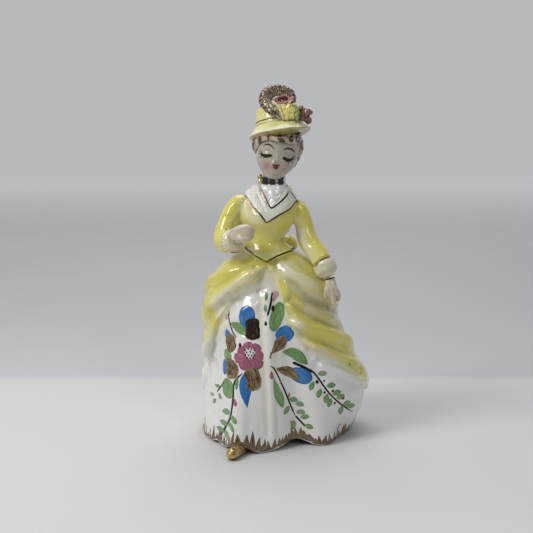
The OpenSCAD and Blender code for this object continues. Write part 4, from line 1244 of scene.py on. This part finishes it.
STEM_A = [(-23.1, 41.1), (-27.4, 35.7), (-28.2, 27.2), (-30.1, 16.2), (-36.4, 3.6)]
STEM_B = [(-31.7, 36.2), (-34.2, 32.2), (-37.2, 27.7)]
STEMS = [
    ([(-31, 70.1), (-29.6, 64), (-27.8, 58.6)], 0.72, "stem"),
    (STEM_A, 1.0, "stem"),
    (STEM_B, 0.78, "stem"),
    ([(-7.7, 81.8), (-8.7, 75.9), (-10.4, 69.6)], 1.3, "stem"),
    ([(2.7, 45.4), (7.8, 43.1), (13.9, 39.4)], 1.7, "stem"),
    ([(7.8, 43.1), (13.9, 39.4), (21.2, 29.3), (26.5, 23.3), (32.2, 17.7), (36.2, 14.4)], 0.98, "stem"),
    ([(-9, 44.5), (-6.4, 42.2), (-1.8, 31.9), (2.5, 20.8), (4.6, 16)], 0.91, "stem"),
    ([(4.4, 16.4), (7, 13.6), (9.8, 10.6)], 1.1, "stem"),
    ([(-30.4, 20), (-32.4, 17.6)], 0.52, "stem"),
    ([(-1.5, 62.5), (0.4, 64.6)], 0.65, "stem"),
    ([(33.0, 42.4), (33.8, 41.2), (33.4, 40.6)], 0.6, "leaf"),
    ([(39.8, 35.9), (40.5, 34.9)], 0.5, "leaf"),
]
BLUE = [
    ([(-20.6, 63.0), (-20.9, 69.5), (-20.0, 75.2)], 8.8, "round"),
    ([(-32.0, 62.0), (-31.2, 59.1), (-31.3, 55.5)], 3.0, "leaf"),
    ([(-33.0, 46), (-32.4, 41.6), (-33.1, 37.5)], 3.2, "leaf"),
    ([(-20.6, 23.6), (-21.6, 32), (-21.0, 41.6)], 7.0, "drop"),
    ([(-5.6, 57.4), (-1.2, 60.2), (3.4, 61.9)], 9.0, "round"),
    ([(1.4, 40.8), (7.2, 38.2), (13.2, 35.8)], 8.4, "round"),
]
BRONZE = [
    ([(-30.5, 59.9), (-29.5, 54.7), (-30.4, 49.4)], 6.2, "leaf"),
    ([(-31.6, 47.0), (-28.8, 42), (-31.0, 36.4)], 7.4, "leaf"),
    ([(-19.7, 43.9), (-17.8, 38), (-17.6, 31.8)], 8.4, "square"),
    ([(-8.4, 50.3), (-5.0, 54), (-0.8, 59.4)], 6.4, "drop"),
    ([(-8.4, 51.8), (-8.8, 48.2)], 0.9, "stem"),
    ([(-5.6, 42.7), (0.8, 40.5), (6.9, 35.6)], 5.4, "leaf"),
]
GREEN = [
    ([(-29.6, 65.4), (-25.5, 63.5), (-21.2, 59.4)], 5.4, "leaf"),
    ([(-32.4, 51.0), (-31.2, 47.9), (-31.4, 44.6)], 4.4, "leaf"),
    ([(-31.8, 36.4), (-30.7, 31.3), (-31.8, 26.4)], 6.6, "round"),
    ([(-25.6, 39), (-26.2, 36), (-26.4, 32)], 2.0, "leaf"),
    ([(-7.6, 61.8), (-5.5, 69.5), (-2.8, 77.0)], 7.2, "round"),
    ([(-11.1, 82.4), (-10.9, 80.1), (-11.1, 77.4)], 2.0, "leaf"),
    ([(-11.2, 76), (-11.4, 73.6), (-11.2, 71.4)], 1.8, "leaf"),
    ([(-2.6, 51.2), (4, 49.8), (10.8, 44.0)], 6.0, "leaf"),
    ([(-7.2, 39.0), (-5.2, 31), (-2.2, 22.0)], 4.4, "drop"),
    ([(-30.4, 69.0), (-30.6, 72.2)], 1.2, "spike"),
    ([(-27.8, 60.0), (-26.8, 57.4)], 1.2, "leaf"),
]
STEM_D = [(2.7, 45.4), (7.8, 43.1), (13.9, 39.4), (21.2, 29.3), (26.5, 23.3), (32.2, 17.7)]
STEM_F = [(-9, 44.5), (-6.4, 42.2), (-1.8, 31.9), (2.5, 20.8), (4.6, 16), (9.8, 10.6)]
LEAFLETS = (
    leaflets(STEM_A, [(-31.9, 19.6), (-27.7, 17.6), (-33.1, 13.4), (-34.9, 9.2), (-31.3, 8.0),
                      (-29.0, 13.6)], 5.0, 3.2)
    + leaflets(STEM_B, [(-40.0, 25), (-38.4, 22.6), (-35.3, 26.0), (-36.8, 31.0), (-33.4, 31.6)], 3.6, 1.8)
    + leaflets(STEM_D, [(18.6, 38.4), (13.0, 32.6), (23.3, 31.7), (17.0, 28.4), (28.5, 25.2), (22.6, 22.8),
                        (29.0, 17.4), (34.6, 18.4), (32.0, 20.4), (20.8, 25.4), (26.4, 27.6)], 5.2, 3.3)
    + leaflets(STEM_F, [(3.3, 25.2), (6.6, 22.7), (-0.2, 20.2), (7.2, 18.3), (9.4, 15.8), (3.4, 11.8),
                        (11.6, 10.6)], 5.0, 3.1)
)
BROWN = [
    ([(-11.2, 67.6), (-11.2, 64.8)], 1.7, "drop"),
    ([(19.2, 35.0), (19.9, 34.0)], 1.7, "round"), ([(15.0, 35.4), (16.4, 33.6)], 1.7, "round"),
    ([(23.6, 29.4), (24.7, 28.4)], 1.8, "round"), ([(19.2, 29.0), (20.4, 28.0)], 1.6, "round"),
    ([(29.2, 24.8), (30.7, 23.6)], 1.9, "round"), ([(24.7, 22.6), (26.0, 21.8)], 1.6, "round"),
]
ORANGE = [
    ([(1.1, 29.8), (0.9, 26.4)], 1.4, "drop"),
    ([(2.0, 14.6), (2.8, 11.8)], 1.8, "drop"),
    ([(-3.4, 36.4), (-3.8, 34.4)], 0.8, "stem"),
]
FLOWER, FLOWER_R, PETALS = (-19.5, 48.8), 7.9, 8
PINK = [
    ([(-27.2, 28.2), (-27.0, 24.0)], 2.6, "drop"), ([(-8.4, 42.2), (-8.0, 37.4)], 2.2, "drop"),
]
for k in range(PETALS):
    a = 2 * math.pi * (k + 0.18) / PETALS - 0.5 * math.pi
    rim = FLOWER_R + 0.5 * math.sin(2.3 * k)
    PINK.append(([(FLOWER[0] + share * rim * math.cos(a), FLOWER[1] + share * rim * math.sin(a))
                  for share in (0.12, 0.55, 1.0)], 6.6, "petal"))
HEART = (-19.4, 51.2)
SEEDS = [(-1.9, 0.9), (-0.7, 1.5), (0.6, 1.4), (1.8, 1.0), (-1.3, 0.0), (0.1, 0.3), (1.3, -0.1),
         (-1.8, -1.0), (-0.5, -1.2), (0.7, -1.3), (1.9, -1.0), (-1.1, -2.1), (0.1, -2.3), (1.3, -2.1)]

strokes_on("stems_painted", front, STEMS, "black", "black_enamel", 0.1)
strokes_on("leaves_painted", front, GREEN, "green", "green_enamel", 0.12, 0.12)
strokes_on("leaflets_painted", front, LEAFLETS, "green", "green_enamel", 0.12, 0.06)
strokes_on("blue_petals_painted", front, BLUE, "blue", "mauve_enamel", 0.14, 0.12)
strokes_on("bronze_leaves_painted", front, BRONZE, "bronze", "bronze_lustre", 0.22, 0.3)
strokes_on("dark_leaf_painted", front, [([(-18.9, 68.9), (-18.3, 63.4), (-18.2, 57.2)], 8.2, "square")],
           "dark_bronze", "bronze_lustre", 0.24, 0.9)
strokes_on("brown_buds_painted", front, BROWN, "black", "black_enamel", 0.16)
strokes_on("orange_dabs_painted", front, ORANGE, "orange", "ochre_glaze", 0.16)
strokes_on("pink_buds_painted", front, [
    ([(-7.2, 76.6), (-6.6, 79.6), (-4.8, 82.4)], 3.6, "drop"), ([(-31.8, 69.8), (-31.8, 66.6)], 1.6, "drop"),
], "pale_pink", "rose_enamel", 0.14, 0.08)
strokes_on("pink_flower_painted", front, PINK, "pink", "rose_enamel", 0.14, 0.08)
strokes_on("flower_heart_painted", front,
           [([(HEART[0] - 3.1, HEART[1] + 0.2), (HEART[0] + 3.2, HEART[1] + 0.2)], 4.8, "round"),
            ([(HEART[0] - 2.2, HEART[1] - 1.9), (HEART[0] + 2.2, HEART[1] - 1.9)], 2.8, "round")],
           "white_dab", "white_glaze", 0.27, 0.15)
seeds = Paint(0.42)
for x, z in SEEDS:
    seeds.dot(front, HEART[0] + 1.25 * x, HEART[1] + 1.2 * z, 1.25, 0.9)
for x, z, size, wide in ((-24.6, 54.5, 2.6, 0.6), (-7.5, 73.6, 3.4, 0.5)):
    seeds.dot(front, x, z, size, wide)
seeds.make("black_dots_painted", MATERIALS["black"], "black_enamel")
VEINS = [
    ([(-19.4, 43), (-18.2, 38), (-17.8, 33)], 0.6, "leaf"),
    ([(-16.8, 42.8), (-15.4, 39), (-15.6, 35)], 0.6, "leaf"),
    ([(-21, 41), (-20.0, 37), (-20, 33)], 0.5, "leaf"), ([(-17.6, 36), (-16.4, 33.4)], 0.5, "leaf"),
    ([(-31, 45.6), (-29.2, 42), (-30.6, 38)], 0.6, "leaf"), ([(-29.6, 44.6), (-27.4, 42)], 0.5, "leaf"),
    ([(-30.8, 40), (-28.4, 39)], 0.5, "leaf"), ([(-30.4, 58), (-29.6, 54.7), (-30.2, 51)], 0.55, "leaf"),
    ([(-8, 50.6), (-5, 54), (-1.6, 58.4)], 0.6, "leaf"), ([(-6, 55.6), (-4.4, 57.8)], 0.5, "leaf"),
    ([(-4, 53), (-1.8, 55)], 0.5, "leaf"), ([(-5, 42.4), (0.8, 40.5), (6, 36.2)], 0.6, "leaf"),
    ([(-1, 42.4), (3.4, 40.4)], 0.5, "leaf"), ([(0, 39.6), (3.6, 37.0)], 0.5, "leaf"),
]
strokes_on("bronze_veins_painted", front, VEINS, "black", "black_enamel", 0.3)

# ---------------------------------------------------------------- bronze hem


def hem_heights():
    """The outer rim of the hem, as (azimuth, height), from the gown's own net."""
    offset = gown.points[:, :2] - np.array(AXIS[:2])
    outward = (unit_rows(offset) * gown.normals()[:, :2]).sum(1) > 0.35
    low = outward & (gown.points[:, 2] < 12) & (gown.owner == 0)
    level = gown.points[low, 2]
    azimuth = np.degrees(np.arctan2(offset[low, 0], -offset[low, 1]))
    heights = []
    for a in range(-180, 180, 3):
        here = np.abs((azimuth - a + 180) % 360 - 180) < 1.6
        if here.any():
            heights.append((a, level[here].min()))
    return heights + [(180, heights[0][1])]


hem_angles, hem_levels = zip(*hem_heights())
rng = np.random.default_rng(11)
spikes = Paint(0.13)
angle = -180.0
while angle < 179.0:
    view = Canvas(gown_tree, angle, AXIS, step=6.0)
    level = float(np.interp(angle, hem_angles, hem_levels)) + 0.7
    tall = rng.uniform(3.0, 8.0) * (1.3 if rng.uniform() < 0.35 else 0.8)
    wide = rng.uniform(2.0, 4.4)
    lean = rng.uniform(-1.0, 1.0)
    spike_path = [(0, level), (0.3 * lean, level + 0.5 * tall), (lean, level + tall)]
    spikes.stroke(view, spike_path, wide, "spike", wobble=0.12)
    angle += rng.uniform(2.4, 5.4)
spikes.make("hem_bronze_strokes", MATERIALS["hem"], "bronze_lustre")
band_path = []
for angle in np.arange(-180, 180.1, 3):
    view = Canvas(gown_tree, angle, AXIS)
    level = float(np.interp(angle, hem_angles, hem_levels))
    band_path.append(view.lay(0, level + 1.4 + 0.25 * math.sin(0.21 * angle))[0][:])
hem_band = Paint(0.11)
band = Ribbon(gown_tree, band_path)
for k in range(24):
    hem_band.stroke(band, band.ends(k / 24 - 0.002 if k else 0.0, (k + 1.08) / 24 if k < 23 else 1.0),
                    rng.uniform(1.2, 2.6), "square", spacing=0.7, wobble=0.3)
hem_band.make("hem_bronze_band", MATERIALS["hem"], "bronze_lustre")

# ---------------------------------------------------------------- painted lines

torso = joined_tree([(skin.points.tolist(), skin.quads.tolist())
                     for skin in (gown, collar, chemisette, CUFFS["left_cuff"], CUFFS["right_cuff"],
                                  HANDS["left_hand"], HANDS["right_hand"])])
torso_front = Canvas(torso)
GOLD_LINES = [
    ([(-21.9, 131.6), (-20.2, 129.0), (-18.2, 126.4), (-16.2, 124.2), (-14.6, 122.4)], 1.0, "stem"),
    ([(-13.6, 135.0), (-12.2, 132.2), (-9.4, 126.5)], 0.8, "stem"),
    ([(14.2, 94.2), (16.1, 96.6), (19.6, 98.7), (23.4, 99.3)], 0.8, "stem"),
    ([(-22.2, 104.4), (-19.4, 102.4), (-16.8, 100.6)], 1.3, "stem"),
    ([(-29.2, 102.9), (-26, 102.6), (-22.7, 103.5)], 0.9, "stem"),
]
BLACK_LINES = [
    ([(-15.0, 123.2), (-13.2, 121), (-10.9, 117.6)], 0.95, "stem"),
    ([(-10.9, 117.6), (-5.1, 121.2), (1.4, 124.8), (5.2, 129.1)], 0.95, "stem"),
    ([(4.7, 129.3), (3.2, 131.4), (1.5, 133.6)], 0.4, "stem"),
    ([(-9.6, 127), (-8.0, 125.4), (-3.8, 128.2), (-0.5, 131.2), (0.8, 133.8)], 0.95, "stem"),
    ([(-17.2, 100.9), (-14, 99.2), (-9.4, 97.2)], 0.8, "stem"),
    ([(-11.6, 97.4), (-10.3, 98.0), (-3.8, 101), (5.2, 103)], 0.85, "stem"),
    ([(20.0, 87.7), (22.6, 88.4), (25.3, 89.2)], 0.8, "stem"),
    ([(-32.0, 114.2), (-31.6, 112), (-31.1, 109.8)], 0.55, "stem"),
    ([(-27.6, 109.8), (-27.0, 109.2)], 0.8, "round"),
]
strokes_on("gold_outlines", torso_front, GOLD_LINES, "gold", "gold_lustre", 0.14, 0.08)
strokes_on("black_outlines", torso_front, BLACK_LINES, "black", "black_enamel", 0.13, 0.06)

COLLAR_BEHIND = [(74, 128.6), (110, 129), (180, 129), (250, 131), (286, 131.6)]
COLLAR_TOP_BEHIND = [(70, 136.4), (290, 136.4)]
WAIST_BEHIND = [(60, 103.4), (120, 103.2), (180, 104), (240, 104.6), (300, 104.4)]
collar_tree = joined_tree([world_mesh("collar")])
back_lines = Paint(0.13)
for tree, centre, heights, first, wide in (
        (collar_tree, NECK, COLLAR_BEHIND, 70, 0.75),
        (collar_tree, NECK, COLLAR_TOP_BEHIND, 70, 0.75),
        (cad_bodice, at_row((2, 0, 0)), WAIST_BEHIND, 60, 0.8)):
    line = Ribbon(torso, ring(tree, centre, heights, first, 290))
    back_lines.stroke(line, line.ends(), wide, "stem", spacing=0.6, wobble=0.05)
back_lines.make("back_outlines", MATERIALS["black"], "black_enamel")

# ---------------------------------------------------------------- painted face and hair

face = HEAD.canvas(head.tree())
LASHES = [
    ([(-7.6, 0.0), (-5.8, -0.2), (-3.4, 0.2), (-1.2, 0.8)], 1.7, "stem"),
    ([(-7.0, -0.5), (-4.6, -0.5), (-2.4, 0.0)], 1.5, "leaf"),
    ([(4.2, 0.4), (5.6, -0.4), (7.0, -0.9), (8.9, -1.1)], 1.7, "stem"),
    ([(5.0, -0.7), (6.8, -1.4), (8.4, -1.4)], 1.5, "leaf"),
    ([(-6.6, 0.4), (-8.2, 2.2)], 0.7, "spike"), ([(-7.0, 0.2), (-9.2, 1.1)], 0.7, "spike"),
    ([(-7.2, -0.2), (-9.3, -0.6)], 0.65, "spike"), ([(-6.4, -0.6), (-8.0, -2.4)], 0.65, "spike"),
    ([(-5.0, -0.8), (-6.0, -2.4)], 0.55, "spike"),
    ([(8.4, -0.6), (9.9, 1.4)], 0.7, "spike"), ([(8.6, -0.8), (10.8, 0.3)], 0.7, "spike"),
    ([(8.6, -1.1), (10.6, -1.4)], 0.65, "spike"), ([(8.0, -1.4), (9.3, -2.9)], 0.65, "spike"),
    ([(6.8, -1.6), (7.6, -3.1)], 0.55, "spike"),
    ([(-7.1, 4.3), (-5.4, 5.6), (-3.8, 5.9), (-2, 5.4), (-0.3, 3.9)], 0.8, "leaf"),
    ([(3.6, 3.9), (5.4, 5.0), (7.0, 4.9), (8.4, 4.1), (9.8, 2.4)], 0.95, "leaf"),
]
LIPS = [
    ([(-0.9, -3.7), (0.3, -3.9), (1.5, -4.7)], 1.2, "leaf"),
    ([(1.1, -4.7), (2.3, -4.0), (3.4, -4.2)], 1.2, "leaf"),
    ([(-0.3, -4.4), (1.3, -5.5), (2.9, -4.6)], 1.8, "leaf"),
]
strokes_on("lashes_and_brows", face, LASHES, "black", "black_enamel", 0.15)
strokes_on("lips_painted", face, LIPS, "red", "rose_enamel", 0.1)
nostrils = Paint(0.05)
for x, z in ((0.6, -2.5), (2.5, -2.6)):
    nostrils.dot(face, x, z, 0.3, 1.5)
nostrils.make("nostril_dots", MATERIALS["orange"], "rose_enamel")

hair_view = Canvas(hair.tree(), 0, HEAD.place, HEAD.turn, 60, step=6.0)
HAIR_STROKES = [
    ([(-8.6, 10.2), (-8.9, 7.2), (-8.7, 4.4)], 2.2, "drop"),
    ([(-0.4, 12.4), (1.6, 10.4), (4.2, 8.0)], 2.8, "drop"),
    ([(6.8, 12.6), (7.2, 10.4), (7.9, 8.2)], 2.5, "drop"),
    ([(9.6, 12.4), (10.3, 10.0), (10.7, 7.6)], 2.5, "drop"),
    ([(12.0, 8.8), (12.8, 6.0), (12.8, 2.8)], 2.4, "leaf"),
    ([(-3.6, 12.0), (-4.4, 10.0), (-4.2, 8.2)], 1.1, "drop"),
    ([(-12.2, 5.0), (-12.8, 2.6), (-12.0, -0.4)], 1.4, "leaf"),
]
strokes_on("hair_strokes", hair_view, HAIR_STROKES, "hair_line", "hair_glaze", 0.12, 0.08)
curls = Paint(0.12)
for angle in range(75, 291, 12):
    view = Canvas(hair.tree(), angle, HEAD.place, HEAD.turn, 60)
    for level in (8.5, 2.5, -3.0):
        tilt = rng.uniform(-1.6, 1.6)
        x = rng.uniform(-1.0, 1.0)
        curl = [(x, level), (x + tilt, level - 2.4), (x + 0.2 * tilt, level - 4.8), (x - tilt, level - 6.6)]
        curls.stroke(view, curl, rng.uniform(0.5, 1.0), "leaf", wobble=0.05)
curls.make("hair_back_strokes", MATERIALS["hair_wisp"], "hair_glaze")

# ---------------------------------------------------------------- painted hat

hat_tree = joined_tree([(skin.points.tolist(), skin.quads.tolist()) for skin in (brim, crown)])
foot_path = []
for angle in np.arange(-180, 180.1, 6):
    view = Canvas(hat_tree, angle, HAT.place, HAT.turn, 60)
    foot_path.append(view.lay(0, 1.9)[0][:])
hat_line = Paint(0.13)
foot = Ribbon(hat_tree, foot_path)
hat_line.stroke(foot, foot.ends(), 0.75, "stem", spacing=0.6, wobble=0.1)
hat_line.make("hat_gold_line", MATERIALS["gold"], "gold_lustre")

plume_front = Canvas(plume.tree())
ticks = Paint(0.08)
for k, (spot, ahead) in enumerate(zip(plume_spine[8::7], np.gradient(plume_spine, axis=0)[8::7])):
    out = np.array([-ahead[2], ahead[0]]) / math.hypot(ahead[0], ahead[2])
    start = np.array([spot[0], spot[2]])
    near, far = (0.9, 2.7) if k % 2 else (1.7, 3.0)
    tick_path = [tuple(start + out * near), tuple(start + out * far)]
    ticks.stroke(plume_front, tick_path, 0.85, "drop", spacing=0.25)
ticks.make("plume_dark_ticks", MATERIALS["black"], "black_enamel")
trim = Canvas(joined_tree([(skin.points.tolist(), skin.quads.tolist())
                           for skin in (brim, crown, plume, stems, loop, rose, blossom, leaves)]))
strokes_on("quill_dark_line", trim, [([(-7.4, 175.2), (-5.4, 173), (-2.8, 170.5)], 0.8, "drop")],
           "black", "black_enamel", 0.25)
# The pale quill line and knob, with pale dabs beside them that are painted highlights on the plume's base.
strokes_on("quill_line_and_highlight_dabs", trim, [
    ([(-7.8, 181.2), (-5.6, 177.6), (-3.6, 174.3), (-2.3, 170.4)], 1.0, "stem"),
    ([(-12.0, 178.8), (-10.6, 177.4)], 1.4, "drop"),
    ([(-9.4, 178.6), (-8.0, 176.4)], 1.5, "drop"),
    ([(-10.4, 176.2), (-8.6, 174.6)], 1.2, "drop"),
    ([(-7.0, 176.4), (-5.4, 175.0)], 1.8, "round"),
], "quill_paint", "gold_lustre", 0.5, 0.1)
# Bright gold stroke along the top of the ribbon loop: a painted highlight.
strokes_on("ribbon_gold_painted_highlight", trim, [([(-2.2, 184.6), (1.6, 185.6), (4.4, 184.6)], 0.7, "leaf")],
           "quill", "gold_lustre", 0.3)

# ---------------------------------------------------------------- camera, light and floor


def area_light(name, place, target, size, power, colour=(1, 1, 1)):
    data = bpy.data.lights.new(name, "AREA")
    data.shape = "RECTANGLE"
    data.size, data.size_y = size[0] * MM, size[1] * MM
    data.energy = power
    data.color = colour
    lamp = bpy.data.objects.new(name, data)
    lamp.location = Vector(place) * MM
    lamp.rotation_euler = (Vector(target) - Vector(place)).to_track_quat("-Z", "Y").to_euler()
    scene.collection.objects.link(lamp)


def make_camera():
    data = bpy.data.cameras.new("camera")
    data.sensor_width = 36
    data.angle = math.radians(31.5)
    camera = bpy.data.objects.new("camera", data)
    place, target = Vector((-10.8, -505.4, 165)), Vector((-10.8, -5.4, 93))
    camera.location = place * MM
    camera.rotation_euler = (target - place).to_track_quat("-Z", "Y").to_euler()
    scene.collection.objects.link(camera)
    scene.camera = camera


def make_floor():
    """A pale floor that turns a little greyer well behind the figure, then pales and glows further back:
    painted light, so it reads as a lit backdrop.
    """
    half = 3000.0
    mesh = bpy.data.meshes.new("floor")
    corners = [(-half, -half, 0), (half, -half, 0), (half, half, 0), (-half, half, 0)]
    mesh.from_pydata([tuple(c * MM for c in corner) for corner in corners], [], [(0, 1, 2, 3)])
    g = Graph("floor_cloth")
    split = g.node("ShaderNodeSeparateXYZ")
    g.feed(split.inputs[0], g.place)
    # Behind the grey band the floor pales with distance: painted light that evens out the lamps' falloff.
    wall = g.mix(g.between(split.outputs[1], 0.2, 1.0), (0.55, 0.56, 0.58), (0.80, 0.81, 0.83))
    colour = g.mix(g.between(split.outputs[1], 0.104, 0.122), (0.66, 0.66, 0.655), wall)
    colour = g.mix(g.between(g.noise(40.0, 4.0), 0.3, 0.8, 0.0, 0.12), colour, (0.6, 0.58, 0.56))
    cloth = g.bump(g.noise(1.2, 3.0), 0.06)
    # Painted light: the floor glows more the further back it lies.
    glow = g.between(split.outputs[1], 0.3, 2.4, 0.0, 0.215)
    mesh.materials.append(g.finish(Base_Color=colour, Roughness=0.85, Normal=cloth,
                                   Emission_Color=(1, 1, 1, 1), Emission_Strength=glow))
    floor = bpy.data.objects.new("floor", mesh)
    scene.collection.objects.link(floor)


make_camera()
make_floor()
area_light("key", (-520, -330, 620), (-5, 0, 90), (320, 420), 3.7, (1.0, 0.99, 0.97))
area_light("window", (240, -480, 460), (-5, 0, 90), (60, 200), 0.4, (0.95, 0.97, 1.0))
area_light("top", (0, 250, 700), (0, 60, 0), (500, 500), 1.6)


ROOM_DIM, ROOM_PALE = 0.20, 0.50


def make_world():
    """A soft room: pale behind the figure, dimmer in front of it."""
    world = bpy.data.worlds.new("studio")
    scene.world = world
    world.use_nodes = True
    tree = world.node_tree
    place = tree.nodes.new("ShaderNodeTexCoord")
    split = tree.nodes.new("ShaderNodeSeparateXYZ")
    tree.links.new(place.outputs["Generated"], split.inputs[0])
    fade = tree.nodes.new("ShaderNodeMapRange")
    fade.interpolation_type = "SMOOTHSTEP"
    for socket, value in zip(fade.inputs[1:5], (-0.3, 0.4, ROOM_DIM, ROOM_PALE)):
        socket.default_value = value
    tree.links.new(split.outputs["Y"], fade.inputs[0])
    background = tree.nodes["Background"]
    background.inputs["Color"].default_value = (0.97, 0.98, 1.0, 1)
    tree.links.new(fade.outputs[0], background.inputs["Strength"])


make_world()
scene.view_settings.view_transform = "Standard"
